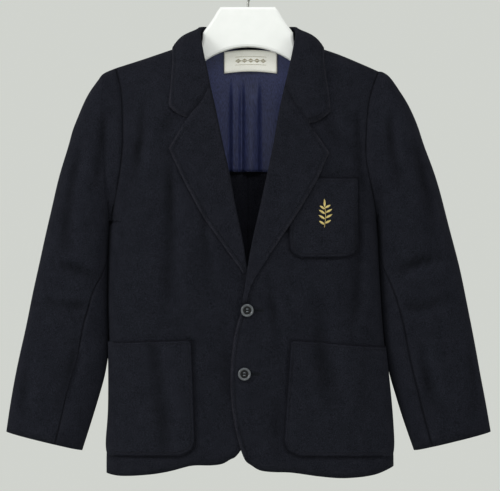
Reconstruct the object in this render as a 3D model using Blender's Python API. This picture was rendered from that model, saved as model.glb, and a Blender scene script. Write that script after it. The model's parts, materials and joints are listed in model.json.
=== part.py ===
"""A boy's navy wool blazer on a moulded hanger, every cloth piece a wall of its own.

Metres, +Z up. The origin is the inside top of the hanger's hook, the front faces -Y,
and the wearer's left side is +X. A side is +1 for the wearer's left and -1 for the right.
A face is -1 for the front of the body and +1 for its back.
"""

import math

import bmesh
import bpy
import numpy as np

# Cloth and seams
WALL = 0.0020
LINING_WALL = 0.0011
LABEL_WALL = 0.0010
SEAM_GAP = 0.0004
PLY_GAP = 0.0004

# Body tube: half widths and depths at a few heights, from the hem up
BODY_COLUMNS = ("z", "right", "left", "front", "back")
BODY = (
    (-0.740, 0.2035, 0.2095, 0.0415, 0.0360),
    (-0.690, 0.2030, 0.2090, 0.0425, 0.0365),
    (-0.640, 0.1995, 0.2060, 0.0435, 0.0370),
    (-0.580, 0.1990, 0.2000, 0.0445, 0.0375),
    (-0.540, 0.1997, 0.1955, 0.0450, 0.0380),
    (-0.480, 0.2010, 0.1910, 0.0460, 0.0385),
    (-0.400, 0.2000, 0.1870, 0.0460, 0.0385),
    (-0.350, 0.1965, 0.1845, 0.0455, 0.0385),
    (-0.250, 0.1960, 0.1855, 0.0450, 0.0380),
    (-0.150, 0.1990, 0.1960, 0.0450, 0.0380),
)
SECTION_POWER = 3.0  # 2 is an ellipse, more is flatter in front with a tighter side

# Shoulder ridge, in the plane y = 0
RIDGE_CENTRE_Z = -0.0800
RIDGE_SLOPE = 0.391
RIDGE_RADIUS = 0.012
RIDGE_RISE_COLUMNS = ("x", "right", "left")  # how far the shoulder pads lift the cloth
RIDGE_RISE = (
    (0.090, 0.0000, 0.0000),
    (0.110, 0.0014, 0.0016),
    (0.130, 0.0024, 0.0026),
    (0.150, 0.0034, 0.0022),
    (0.170, 0.0048, 0.0014),
    (0.189, 0.0062, 0.0004),
)
CHEST_DROP = 0.150  # the cloth reaches its full depth this far below the ridge

# Neck seam
NECK_X = 0.076
NECK_BACK_Z = -0.119

# Armhole seam: distance from the middle at a few heights, from the shoulder down
TIP_X = {-1: 0.1885, 1: 0.1875}
UNDERARM_Z = -0.372
ARMHOLE_COLUMNS = ("z", "right", "left")
ARMHOLE = (
    (-0.1535, 0.1885, 0.1875),
    (-0.176, 0.1825, 0.1790),
    (-0.195, 0.1800, 0.1735),
    (-0.218, 0.1790, 0.1700),
    (-0.241, 0.1780, 0.1685),
    (-0.263, 0.1785, 0.1675),
    (-0.286, 0.1805, 0.1690),
    (-0.303, 0.1830, 0.1720),
    (-0.323, 0.1865, 0.1765),
    (-0.343, 0.1905, 0.1805),
    (-0.362, 0.1950, 0.1840),
)
BACK_ARMHOLE_OUT = 0.004
ARMHOLE_STEPS = 12

# Front edge: the roll line of the lapel above the break, the buttoning edge below it
EDGE_COLUMNS = ("z", "right", "left")
FRONT_EDGE = (
    (-0.1097, -0.0705, 0.0705),
    (-0.140, -0.0640, 0.0625),
    (-0.165, -0.0560, 0.0550),
    (-0.205, -0.0465, 0.0455),
    (-0.262, -0.0347, 0.0355),
    (-0.300, -0.0262, 0.0275),
    (-0.355, -0.0160, 0.0155),
    (-0.386, -0.0090, 0.0084),
    (-0.424, -0.0025, 0.0010),
    (-0.455, 0.0030, -0.0035),
    (-0.482, 0.0085, -0.0080),
    (-0.510, 0.0150, -0.0145),
    (-0.545, 0.0180, -0.0210),
    (-0.580, 0.0185, -0.0245),
    (-0.622, 0.0165, -0.0235),
    (-0.664, 0.0080, -0.0175),
    (-0.703, -0.0170, -0.0060),
)
CORNER_Z = {-1: -0.698, 1: -0.703}
BREAK_Z = {-1: -0.458, 1: -0.484}
ROLL_INSET = 0.0055
ROLL_INSET_AT_BREAK = 0.0034
ROLL_GROWS = 0.080
EDGE_AT_UNDERARM_Z = -0.400
BACK_AT_UNDERARM_Z = -0.380
BREAK_ROW = 6
FRONT_COLUMNS = (13, 8)  # wide ones across the chest, tight ones round the side
BACK_COLUMNS = (6, 5)
POCKET_COLUMNS_ACROSS = (5, 9)
TIGHT_COLUMN = 0.62
NECK_COLUMNS = 5
NECK_ARC = 1.02
NECK_BACK_POWER = 2.4
ROWS_BELOW = 9
ROW_SAMPLES = 60
SAMPLE_POWER = 3  # the samples crowd toward the side seam, where the section turns
SHARP_ANGLE = math.radians(50)

# Hem of the fronts: height at a few places from the corner to the side seam
HEM = {
    -1: ((-0.0145, -0.698), (-0.032, -0.711), (-0.049, -0.7145), (-0.079, -0.7150), (-0.110, -0.7230),
         (-0.138, -0.7280), (-0.181, -0.7312), (-0.2035, -0.7290)),
    1: ((-0.0060, -0.703), (0.010, -0.7185), (0.031, -0.7235), (0.059, -0.7245), (0.102, -0.7305),
        (0.137, -0.7332), (0.179, -0.7295), (0.2095, -0.7190)),
}
HEM_SIDE_Z = {-1: -0.729, 1: -0.719}
HEM_BACK_Z = -0.701

# Fronts lie over each other down the middle
OVERLAP_HALF = 0.0017
OVERLAP_AT_BREAK = 0.0018
OVERLAP_FADE = (0.030, 0.075)
OVERLAP_TOP_Z = -0.290
OVERLAP_GROWS = 0.120
BREAK_SPREAD = 0.060

# Soft vertical troughs in the cloth. Columns: x, top, bottom, width, depth
FRONT_FOLDS = (
    (-0.112, -0.330, -0.545, 0.013, 0.0040),
    (-0.064, -0.385, -0.480, 0.010, 0.0026),
    (0.028, -0.470, -0.545, 0.010, 0.0022),
    (0.155, -0.345, -0.540, 0.013, 0.0042),
    (-0.150, -0.560, -0.700, 0.014, 0.0022),
    (0.118, -0.590, -0.715, 0.016, 0.0022),
)
BACK_FOLDS = (
    (-0.128, -0.300, -0.560, 0.014, 0.0042),
    (-0.060, -0.430, -0.690, 0.013, 0.0030),
    (0.052, -0.400, -0.660, 0.013, 0.0032),
    (0.136, -0.320, -0.590, 0.015, 0.0040),
)

# Sleeves: a ring for each row. The outer edge is a distance from the middle, the
# inner edge stands off the body's side by "off", and seam is how far round the
# front of the ring the forearm seam lies, 0 at the outer edge and 1 at the inner
RING_COLUMNS = (
    "out_right", "out_left", "out_z", "in_z", "off_right", "off_left", "depth", "seam_right", "seam_left",
)
RINGS = (
    (0.2070, 0.1970, -0.1555, -0.3735, 0.0008, 0.0008, 0.0270, 1.00, 1.00),
    (0.2145, 0.2065, -0.1640, -0.3770, 0.0008, 0.0008, 0.0290, 1.00, 1.00),
    (0.2262, 0.2175, -0.1800, -0.3830, 0.0008, 0.0008, 0.0305, 1.00, 1.00),
    (0.2365, 0.2295, -0.1990, -0.3900, 0.0008, 0.0008, 0.0315, 1.00, 1.00),
    (0.2452, 0.2395, -0.2200, -0.3980, 0.0008, 0.0008, 0.0320, 1.00, 1.00),
    (0.2526, 0.2468, -0.2390, -0.4090, 0.0008, 0.0008, 0.0320, 1.00, 1.00),
    (0.2590, 0.2545, -0.2630, -0.4230, 0.0008, 0.0008, 0.0320, 0.99, 0.99),
    (0.2710, 0.2690, -0.3020, -0.4430, 0.0008, 0.0008, 0.0315, 0.95, 0.95),
    (0.2810, 0.2810, -0.3450, -0.4660, 0.0008, 0.0008, 0.0305, 0.88, 0.89),
    (0.2910, 0.2920, -0.3880, -0.4910, 0.0008, 0.0008, 0.0290, 0.79, 0.83),
    (0.3005, 0.3035, -0.4320, -0.5180, 0.0008, 0.0008, 0.0275, 0.73, 0.79),
    (0.3100, 0.3125, -0.4750, -0.5440, 0.0008, 0.0008, 0.0255, 0.68, 0.765),
    (0.3185, 0.3210, -0.5180, -0.5680, 0.0015, 0.0008, 0.0240, 0.66, 0.755),
    (0.3275, 0.3285, -0.5580, -0.5900, 0.0050, 0.0025, 0.0220, 0.64, 0.75),
    (0.3345, 0.3345, -0.5920, -0.6160, 0.0120, 0.0075, 0.0205, 0.63, 0.75),
    (0.3410, 0.3415, -0.6290, -0.6500, 0.0215, 0.0150, 0.0190, 0.64, 0.76),
    (0.3470, 0.3485, -0.6700, -0.6970, 0.0335, 0.0290, 0.0180, 0.65, 0.77),
)
RING_POWER = 2.35
RING_STEP = 0.02  # for measuring the cloth's direction
ELBOW_SEAM = (0.50, 0.28)  # share across the back of the sleeve, armhole and cuff
CUFF_BACK_DROP = 0.004
SLEEVE_FORWARD = 0.006  # the forearm hangs this far in front of the shoulder

# Sleeve creases. Columns: how far down, how many degrees round, length, width, depth
SLEEVE_FOLDS = {
    -1: ((0.55, 150, 0.05, 0.40, 0.0030), (0.30, 80, 0.05, 0.50, 0.0020), (0.50, 250, 0.05, 0.5, 0.0030)),
    1: ((0.58, 150, 0.05, 0.40, 0.0040), (0.34, 85, 0.05, 0.50, 0.0020), (0.50, 250, 0.05, 0.5, 0.0030)),
}

# Lapels: the cut edge from the tip down to the break, and the notch
GORGE_Z = -0.180
LAPEL_ROLL = 0.0040
LAPEL_ROLL_AT_BREAK = 0.0023
LAPEL_END = 0.0065
LAPEL_GAP = 0.0009
LAPEL_SEAM_GAP = 0.0009
LAPEL_ROWS = 13
LAPEL_COLUMNS = 6
NOTCH_FADE = 0.35
OVER_POCKET_X = 0.044
OVER_POCKET_Z = -0.292
OVER_POCKET_EASE = 0.012
OVER_POCKET_LIFT = 0.0042
NOTCH = {-1: (-0.0880, -0.2265), 1: (0.0895, -0.2355)}
COLLAR_TIP = {-1: (-0.1115, -0.2055), 1: (0.1170, -0.2135)}
GORGE_BEND = {-1: (-0.0615, -0.1930), 1: (0.0615, -0.1945)}
LAPEL_EDGE = {
    -1: ((-0.1120, -0.2660), (-0.0890, -0.3150), (-0.0640, -0.3620), (-0.0310, -0.4085), (-0.0085, -0.4400)),
    1: ((0.1150, -0.2720), (0.0995, -0.3070), (0.0820, -0.3380), (0.0590, -0.3740), (0.0310, -0.4160),
        (0.0050, -0.4560)),
}

# Collar: stations from the gorge round to the middle of the back
# A drop is how far below the shoulder ridge a point lies, less than 0 on the front
COLLAR_COLUMNS = ("neck_x", "neck_drop", "fold_x", "fold_y", "fold_z", "edge_right", "edge_left", "edge_drop")
COLLAR = (
    (0.0620, -0.0538, 0.0575, -0.0350, -0.1560, 0.1110, 0.1155, -0.0690),
    (0.0680, -0.0334, 0.0625, -0.0285, -0.1340, 0.1095, 0.1120, -0.0450),
    (0.0725, -0.0151, 0.0665, -0.0185, -0.1120, 0.1080, 0.1090, -0.0220),
    (0.0755, -0.0025, 0.0690, -0.0065, -0.0955, 0.1085, 0.1090, -0.0030),
    (0.0720, 0.0019, 0.0665, 0.0055, -0.0885, 0.1060, 0.1060, 0.0080),
    (0.0600, 0.0090, 0.0570, 0.0150, -0.0870, 0.0960, 0.0960, 0.0180),
    (0.0450, 0.0179, 0.0425, 0.0215, -0.0875, 0.0780, 0.0780, 0.0275),
    (0.0290, 0.0262, 0.0260, 0.0250, -0.0880, 0.0530, 0.0530, 0.0390),
    (0.0140, 0.0332, 0.0125, 0.0265, -0.0890, 0.0260, 0.0260, 0.0508),
    (0.0000, 0.0390, 0.0000, 0.0270, -0.0892, 0.0000, 0.0000, 0.0615),
)
COLLAR_PLACES = (0.0, 1.0, 2.0, 2.5, 2.85, 3.2, 3.6, 4.0, 4.5, 5.0, 6.0, 7.0, 8.0, 9.0)
COLLAR_FOLD = 0.0038
COLLAR_BULGE = 0.0050
COLLAR_GAP = 0.0008
COLLAR_LIFT = 0.0036  # its outer face over the body's, wall and clearance
FOLD_STEPS = 4
FALL_COLUMNS = 5

# Patch pockets: corners in x and z, the radius of the lower corners
# Columns: side, in_top, in_low, out, z_in_top, z_out_top, z_in_low, z_out_low, radius
POCKETS = {
    "pocket_hip_right": (-1, 0.0790, 0.0735, None, -0.5360, -0.5410, -0.7020, -0.7030, 0.024),
    "pocket_hip_left": (1, 0.0600, 0.0485, None, -0.5360, -0.5480, -0.7020, -0.7040, 0.026),
    "pocket_chest": (1, 0.0575, 0.0575, 0.1570, -0.3070, -0.3070, -0.4210, -0.4210, 0.019),
}
POCKET_OUT_SHARE = 0.9920
POCKET_ROUND = 0.020
POCKET_ROW_POWER = 1.5  # the rows crowd toward the round lower corners
POCKET_GAP = 0.0011
POCKET_ROWS = 9

# Half lining of the back, with its ease pleat
LINING_TOP_DROP = 0.016
LINING_HEM_Z = -0.296
PLEATS = ((-0.0215, 0.0050, 0.0022), (0.0040, 0.0095, 0.0030), (0.0400, 0.0120, 0.0014))
PLEAT_AT_NECK = 0.15
PLEAT_OPENS = 0.060
LABEL_X = (-0.0345, 0.0420)
LABEL_Z = (-0.1535, -0.1235)
LABEL_ARCH = 0.0030
LINING_GAP = 0.0012
LINING_TOP_GAP = 0.0010
LABEL_GAP = 0.0006
LINING_X = (-0.118, -0.098, -0.078, -0.060, -0.044, -0.032, -0.0265, -0.0215, -0.0165, -0.0115, -0.006,
            0.000, 0.004, 0.009, 0.014, 0.022, 0.031, 0.040, 0.049, 0.062, 0.080, 0.098, 0.118)
LINING_ROWS = 9
LABEL_ROWS = 3
LABEL_COLUMNS = 9

# Buttons
BUTTON_RADIUS = 0.0090
BUTTON_HEIGHT = 0.0040
BUTTON_RIM = 0.0021
BUTTON_DISH = 0.0011
HOLE_RADIUS = 0.0010
HOLE_SPACING = 0.0036
BUTTON_GAP = 0.0006
BUTTON_SIDES = 20
BUTTONS = {"button_top": (-0.0010, -0.4950), "button_bottom": (-0.0050, -0.5850)}

# Hanger
HANGER_THICK = 0.0110
HANGER_EDGE = 0.0040
PLATE_TOP_Z = -0.0600
PLATE_TOP_X = 0.0395
PLATE_SIDE = ((0.0440, -0.0660), (0.0500, -0.0764), (0.0576, -0.0874), (0.0650, -0.0973), (0.0656, -0.1060),
              (0.0672, -0.1135))
ARM_TIP_X = 0.1640
ARM_CLEAR = 0.0016
ARM_HEIGHT = 0.0290
ARM_TIP = ((0.20, -0.33), (0.17, -0.70), (-0.25, -0.92))  # round the tip, in arm heights
ARCH_TOP_Z = -0.1180
ARCH_END = (0.0610, -0.1375)
WIRE_RADIUS = 0.00175
HOOK_RADIUS = 0.0200

ARM_START_X = 0.0850
ARM_STEPS = 6
ARCH_STEPS = 6
HOOK_TURN = math.radians(205)
HOOK_STEPS = 18
HOOK_SHANK_STEPS = 6
HOOK_STRAIGHT = 0.006

# Finishes: colour, roughness, metallic
FINISHES = {
    "wool": ((0.0105, 0.0120, 0.0165), 0.95, 0.0),
    "lining": ((0.0205, 0.0270, 0.0600), 0.55, 0.0),
    "label": ((0.610, 0.600, 0.540), 0.60, 0.0),
    "button": ((0.045, 0.050, 0.058), 0.35, 0.0),
    "hanger": ((0.870, 0.880, 0.880), 0.35, 0.0),
    "wire": ((0.560, 0.570, 0.570), 0.25, 1.0),
}


def smooth(xs, ys, x):
    """The value at x on a smooth curve through the points xs, ys, with xs rising."""
    x = min(max(x, xs[0]), xs[-1])
    i = 0
    while i < len(xs) - 2 and x > xs[i + 1]:
        i += 1
    h = xs[i + 1] - xs[i]

    def slope(k):
        low = max(k - 1, 0)
        high = min(k + 1, len(xs) - 1)
        return (ys[high] - ys[low]) / (xs[high] - xs[low])

    t = (x - xs[i]) / h
    start = (1 + 2 * t) * (1 - t) ** 2 * ys[i] + t * (1 - t) ** 2 * h * slope(i)
    end = t * t * (3 - 2 * t) * ys[i + 1] - t * t * (1 - t) * h * slope(i + 1)
    return start + end


def look_up(table, columns, name, value):
    """One named column of a table at a height z, its first column."""
    rows = sorted(table)
    place = columns.index(name)
    return smooth([row[0] for row in rows], [row[place] for row in rows], value)


def ease(value):
    """0 below 0, 1 above 1, and a smooth step between."""
    t = min(max(value, 0.0), 1.0)
    return t * t * (3 - 2 * t)


def unit(vector):
    return np.asarray(vector, float) / max(np.linalg.norm(vector), 1e-12)


def side_name(side):
    return "left" if side > 0 else "right"


def half_width(side, z):
    return look_up(BODY, BODY_COLUMNS, side_name(side), z)


def ridge_line(x):
    """The straight slope that the hanger's arms have."""
    return RIDGE_CENTRE_Z - RIDGE_SLOPE * abs(x)


def ridge_z(x):
    """Height of the shoulder ridge, which pads lift off the hanger's slope."""
    column = RIDGE_RISE_COLUMNS.index(side_name(x))
    return ridge_line(x) + np.interp(abs(x), [row[0] for row in RIDGE_RISE], [row[column] for row in RIDGE_RISE])


def depth(face, x, z):
    """How far the cloth stands off the middle plane, before its side turns in."""
    drop = max(ridge_z(x) - z, 0.0)
    near = min(drop / RIDGE_RADIUS, 1.0)
    ridge = RIDGE_RADIUS * math.sqrt(1 - (1 - near) ** 2)
    full = look_up(BODY, BODY_COLUMNS, "front" if face < 0 else "back", z)
    return ridge + (full - RIDGE_RADIUS) * math.sin(math.pi / 2 * min(drop / CHEST_DROP, 1.0))


def trough(face, x, z):
    """How deep the soft troughs press into the cloth here."""
    total = 0.0
    for centre, top, bottom, width, deep in FRONT_FOLDS if face < 0 else BACK_FOLDS:
        along = 1 - ((z - (top + bottom) / 2) / ((top - bottom) / 2)) ** 2
        if along > 0:
            total += deep * along ** 1.5 * math.exp(-((x - centre) / width) ** 2)
    return total


def overlap(side, x, z):
    """The fronts part down the middle, where the left lies over the right."""
    near = 1 - ease((abs(x) - OVERLAP_FADE[0]) / (OVERLAP_FADE[1] - OVERLAP_FADE[0]))
    below = ease((OVERLAP_TOP_Z - z) / OVERLAP_GROWS)
    at_break = math.exp(-((z - BREAK_Z[-1]) / BREAK_SPREAD) ** 2)
    return -side * near * below * (OVERLAP_HALF + OVERLAP_AT_BREAK * at_break)


def body_point(side, face, share, z):
    """A point of the body's cloth: share 0 is the middle, 1 the side seam."""
    x = side * half_width(side, z) * share
    turn = max(1 - abs(share) ** SECTION_POWER, 0.0) ** (1 / SECTION_POWER)
    y = face * turn * (depth(face, x, z) - trough(face, x, z))
    if face < 0:
        y += overlap(side, x, z)
    return np.array((x, y, z))


def on_body(side, face, x, z):
    """The point of the body's cloth at x and z."""
    return body_point(side, face, min(side * x / half_width(side, z), 1.0), z)


def edge_x(side, z):
    """The front edge, or higher up the lapel's roll line, as it is seen."""
    return look_up(FRONT_EDGE, EDGE_COLUMNS, side_name(side), z)


def panel_edge_x(side, z):
    """Where the front panel itself ends, inside the turn of the lapel."""
    return edge_x(side, z) + side * roll_inset(side, z)


def roll_inset(side, z):
    """How far inside the roll line the front panel ends; nothing below the break."""
    if z < BREAK_Z[side] - SEAM_GAP:
        return 0.0
    grown = ease((z - BREAK_Z[side]) / ROLL_GROWS)
    return ROLL_INSET_AT_BREAK + (ROLL_INSET - ROLL_INSET_AT_BREAK) * grown


def armhole_share(step):
    return (1 - math.cos(math.pi * step / ARMHOLE_STEPS)) / 2


def armhole_place(side, face, step):
    """Share across the body and height of the armhole seam, step 0 at the shoulder tip."""
    top = ridge_z(side * TIP_X[side])
    z = top + (UNDERARM_Z - top) * armhole_share(step)
    if step == ARMHOLE_STEPS:
        return 1.0, z
    x = look_up(ARMHOLE, ARMHOLE_COLUMNS, side_name(side), z) if step else TIP_X[side]
    if face > 0:
        x += BACK_ARMHOLE_OUT * math.sin(math.pi * step / ARMHOLE_STEPS)
    return min(x / half_width(side, z), 1.0), z


def material(name):
    found = bpy.data.materials.get(name)
    if found:
        return found
    colour, roughness, metallic = FINISHES[name]
    made = bpy.data.materials.new(name)
    made.use_nodes = True
    shader = made.node_tree.nodes["Principled BSDF"]
    shader.inputs["Base Color"].default_value = (*colour, 1.0)
    shader.inputs["Roughness"].default_value = roughness
    shader.inputs["Metallic"].default_value = metallic
    return made


def add_mesh(name, points, faces, finish):
    """A smooth-shaded object with its faces turned outwards."""
    mesh = bpy.data.meshes.new(name)
    mesh.from_pydata([tuple(p) for p in points], [], faces)
    shape = bmesh.new()
    shape.from_mesh(mesh)
    if shape.calc_volume(signed=True) < 0:
        bmesh.ops.reverse_faces(shape, faces=shape.faces[:])
    shape.to_mesh(mesh)
    shape.free()
    mesh.shade_smooth()
    mesh.set_sharp_from_angle(angle=SHARP_ANGLE)
    mesh.materials.append(material(finish))
    piece = bpy.data.objects.new(name, mesh)
    bpy.context.collection.objects.link(piece)
    return piece


def normals_of(grid, toward):
    """Unit normals of a grid of points, facing the way of toward at its middle."""
    normals = np.cross(np.gradient(grid, axis=0), np.gradient(grid, axis=1))
    normals /= np.maximum(np.linalg.norm(normals, axis=2, keepdims=True), 1e-12)
    middle = normals[grid.shape[0] // 2, grid.shape[1] // 2]
    return normals if np.dot(middle, toward) > 0 else -normals


def cloth(name, outer, inner, finish):
    """A closed sheet between two grids of points, with a rim all round."""
    rows, cols = outer.shape[:2]
    shift = rows * cols
    faces = []
    for r in range(rows - 1):
        for c in range(cols - 1):
            corner = r * cols + c
            quad = (corner, corner + 1, corner + cols + 1, corner + cols)
            faces.append(quad)
            faces.append(tuple(shift + i for i in reversed(quad)))
    rim = list(range(cols))
    rim += [r * cols + cols - 1 for r in range(1, rows)]
    rim += [(rows - 1) * cols + c for c in range(cols - 2, -1, -1)]
    rim += [r * cols for r in range(rows - 2, 0, -1)]
    for k, a in enumerate(rim):
        b = rim[(k + 1) % len(rim)]
        faces.append((b, a, shift + a, shift + b))
    points = np.concatenate((outer.reshape(-1, 3), inner.reshape(-1, 3)))
    return add_mesh(name, points, faces, finish)


def body_row(side, face, start_x, start_z, end_share, end_z, bend, columns):
    """Points across the body from an inner edge to a share of its width, evenly along
    the cloth, where bend adds a height at a distance from the middle."""
    width = half_width(side, end_z)
    first = 1 - (1 - start_x * side / width) ** (1 / SAMPLE_POWER)
    last = 1 - (1 - end_share) ** (1 / SAMPLE_POWER)
    points = []
    for k in range(ROW_SAMPLES + 1):
        share = 1 - (1 - (first + (last - first) * k / ROW_SAMPLES)) ** SAMPLE_POWER
        x = share * width
        along = (x - start_x * side) / (end_share * width - start_x * side)
        z = start_z + (end_z - start_z) * along + bend(x, along)
        points.append(body_point(side, face, share, z))
    points = np.array(points)
    lengths = np.concatenate(([0], np.cumsum(np.linalg.norm(np.diff(points, axis=0), axis=1))))
    wanted = np.asarray(columns) * lengths[-1]
    return np.stack([np.interp(wanted, lengths, points[:, k]) for k in range(3)], axis=1)


def graded(wide, tight):
    """Places from 0 to 1 with wide steps first and tight steps where the cloth turns."""
    steps = [1.0] * wide + [TIGHT_COLUMN] * tight
    return [0.0] + [sum(steps[:k + 1]) / sum(steps) for k in range(len(steps))]


def hem_z(side, x):
    rows = sorted(HEM[side])
    return smooth([row[0] for row in rows], [row[1] for row in rows], side * x)


def front_grid(side):
    """The front: rows from the hem to the shoulder, columns from the front edge out."""
    corner = CORNER_Z[side]
    side_z = HEM_SIDE_Z[side]
    columns = graded(*FRONT_COLUMNS)
    rows = []
    for k in range(ROWS_BELOW):
        up = k / ROWS_BELOW
        if k < BREAK_ROW:
            start_z = corner + (BREAK_Z[side] - corner) * k / BREAK_ROW
        else:
            high = (k - BREAK_ROW) / (ROWS_BELOW - BREAK_ROW)
            start_z = BREAK_Z[side] + (EDGE_AT_UNDERARM_Z - BREAK_Z[side]) * high
        end_z = side_z + (UNDERARM_Z - side_z) * up

        def bend(x, along, up=up):
            return (1 - up) ** 2 * (hem_z(side, x) - corner - (side_z - corner) * along)

        start_x = panel_edge_x(side, start_z)
        rows.append(body_row(side, -1, start_x, start_z, 1.0, end_z, bend, columns))
    neck_z = ridge_z(side * NECK_X)
    tip = TIP_X[side]
    for step in range(ARMHOLE_STEPS, -1, -1):
        share, end_z = armhole_place(side, -1, step)
        high = 1 - armhole_share(step)
        start_z = EDGE_AT_UNDERARM_Z + (neck_z - EDGE_AT_UNDERARM_Z) * high

        def bend(x, along, high=high):
            out = max(x - NECK_X, 0.0)
            line = neck_z + (ridge_z(side * tip) - neck_z) * out / (tip - NECK_X)
            return high ** 3 * (ridge_z(side * (NECK_X + out)) - line)

        rows.append(body_row(side, -1, panel_edge_x(side, start_z), start_z, share, end_z, bend, columns))
    return np.array(rows)


def neck_back_z(x):
    """Height of the back's top edge: the neck seam, then the shoulder ridge."""
    if abs(x) >= NECK_X:
        return ridge_z(x)
    rise = ridge_z(NECK_X) - NECK_BACK_Z
    return NECK_BACK_Z + rise * (abs(x) / NECK_X) ** NECK_BACK_POWER


def back_grid(side):
    """The back: rows from the hem to the neck and shoulder, columns from the middle out."""
    side_z = HEM_SIDE_Z[side]
    tip = TIP_X[side]
    neck_share = NECK_X / tip * NECK_ARC
    columns = [neck_share * k / NECK_COLUMNS for k in range(NECK_COLUMNS)]
    columns += [neck_share + (1 - neck_share) * place for place in graded(*BACK_COLUMNS)]
    rows = []
    for k in range(ROWS_BELOW):
        up = k / ROWS_BELOW
        start_z = HEM_BACK_Z + (BACK_AT_UNDERARM_Z - HEM_BACK_Z) * up
        end_z = side_z + (UNDERARM_Z - side_z) * up

        def bend(x, along, up=up):
            return (1 - up) ** 2 * (side_z - HEM_BACK_Z) * (along ** 2 - along)

        rows.append(body_row(side, 1, 0.0, start_z, 1.0, end_z, bend, columns))
    for step in range(ARMHOLE_STEPS, -1, -1):
        share, end_z = armhole_place(side, 1, step)
        high = 1 - armhole_share(step)
        start_z = BACK_AT_UNDERARM_Z + (NECK_BACK_Z - BACK_AT_UNDERARM_Z) * high

        def bend(x, along, high=high):
            line = NECK_BACK_Z + (ridge_z(side * tip) - NECK_BACK_Z) * min(x / tip, 1.0)
            return high ** 3 * (neck_back_z(side * x) - line)

        rows.append(body_row(side, 1, 0.0, start_z, share, end_z, bend, columns))
    return np.array(rows)


def body_panel(name, side, face, grid):
    """A front or back: its seams lie in flat planes, so that its neighbours clear it."""
    normals = normals_of(grid, (0, face, 0))
    side_rows = slice(0, ROWS_BELOW + 1)
    normals[side_rows, -1] = (side, 0, 0)
    ridge = unit((side * RIDGE_SLOPE, 0, 1))
    tops = grid[-1, :, 0] * side >= NECK_X - SEAM_GAP
    normals[-1, tops] = ridge
    if face > 0:
        normals[:, 0, 0] = 0
        normals[:, 0] /= np.linalg.norm(normals[:, 0], axis=1, keepdims=True)
    outer = grid.copy()
    outer[:, :, 1] = face * np.maximum(face * outer[:, :, 1], SEAM_GAP / 2)
    if face > 0:
        outer[:, 0, 0] = side * SEAM_GAP / 2
    inner = outer - WALL * normals
    inner[:, :, 1] = face * np.maximum(face * inner[:, :, 1], SEAM_GAP / 2)
    return cloth(name, outer, inner, "wool")


def ring_point(side, progress, angle):
    """A point of the sleeve: angle 0 is its outer edge, 90 degrees its front."""
    rings = [(k / (len(RINGS) - 1), *row) for k, row in enumerate(RINGS)]
    name = side_name(side)

    def value(column):
        place = RING_COLUMNS.index(column) + 1
        return smooth([row[0] for row in rings], [row[place] for row in rings], progress)

    in_z = value("in_z")
    inner = (half_width(side, in_z) + value("off_" + name), in_z)
    outer = (value("out_" + name), value("out_z"))
    share = (1 - math.cos(angle)) / 2
    turn = max(1 - abs(math.cos(angle)) ** RING_POWER, 0.0) ** (1 / RING_POWER)
    front = 1 if math.sin(angle) > 0 else -1
    y = -front * turn * value("depth") - SLEEVE_FORWARD * progress ** 2
    y += elbow(side, progress, angle)
    x = outer[0] + (inner[0] - outer[0]) * share
    z = outer[1] + (inner[1] - outer[1]) * share
    if front < 0:
        z -= CUFF_BACK_DROP * turn * progress ** 6
    return np.array((side * x, y, z))


def ring_normal(side, progress, angle):
    """The outward direction of the sleeve's cloth at a point."""
    low, high = max(progress - RING_STEP, 0.0), min(progress + RING_STEP, 1.0)
    down = ring_point(side, high, angle) - ring_point(side, low, angle)
    around = ring_point(side, progress, angle + RING_STEP) - ring_point(side, progress, angle - RING_STEP)
    return unit(np.cross(around, down)) * side


def elbow(side, progress, angle):
    """Soft cross creases at the elbow, pressed into the front and the back."""
    total = 0.0
    for where, around, long, wide, deep in SLEEVE_FOLDS[side]:
        turned = math.remainder(angle - math.radians(around), 2 * math.pi)
        total += deep * math.exp(-((progress - where) / long) ** 2 - (turned / wide) ** 2)
    return total * math.sin(angle)


def sleeve_angles(side, progress):
    """Where the forearm seam and the elbow seam lie round the sleeve."""
    rings = [(k / (len(RINGS) - 1), *row) for k, row in enumerate(RINGS)]
    place = RING_COLUMNS.index("seam_" + side_name(side)) + 1
    front = smooth([row[0] for row in rings], [row[place] for row in rings], progress)
    back = ELBOW_SEAM[0] + (ELBOW_SEAM[1] - ELBOW_SEAM[0]) * ease(progress)
    return math.acos(1 - 2 * min(front, 1.0)), math.acos(1 - 2 * back)


def armhole_ring(side, angle):
    """A point of the armhole seam on the sleeve's side of it."""
    face = -1 if 0 < angle < math.pi else 1
    turned = abs(math.remainder(angle, 2 * math.pi))
    step = round(turned / math.pi * ARMHOLE_STEPS)
    share, z = armhole_place(side, face, step)
    point = body_point(side, face, share, z)
    point[1] = face * max(face * point[1], 0.0) if 0 < step < ARMHOLE_STEPS else 0.0
    point[0] += side * SEAM_GAP
    return point


def sleeve_panel(name, side, angles_at):
    """One piece of a sleeve, from the armhole to the cuff."""
    grid = [[armhole_ring(side, a) for a in angles_at(0.0)]]
    normals = [[ring_normal(side, 0.0, a) for a in angles_at(0.0)]]
    for k in range(len(RINGS)):
        progress = k / (len(RINGS) - 1)
        grid.append([ring_point(side, progress, a) for a in angles_at(progress)])
        normals.append([ring_normal(side, progress, a) for a in angles_at(progress)])
    grid = np.array(grid)
    normals = np.array(normals)
    normals[0, :, 0] = side * np.minimum(side * normals[0, :, 0], 0.0)
    normals[0] /= np.linalg.norm(normals[0], axis=1, keepdims=True)
    across = np.gradient(grid, axis=1)
    across /= np.linalg.norm(across, axis=2, keepdims=True)
    outer = grid.copy()
    outer[:, 0] += across[:, 0] * SEAM_GAP / 2
    outer[:, -1] -= across[:, -1] * SEAM_GAP / 2
    return cloth(name, outer, outer - WALL * normals, "wool")


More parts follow.
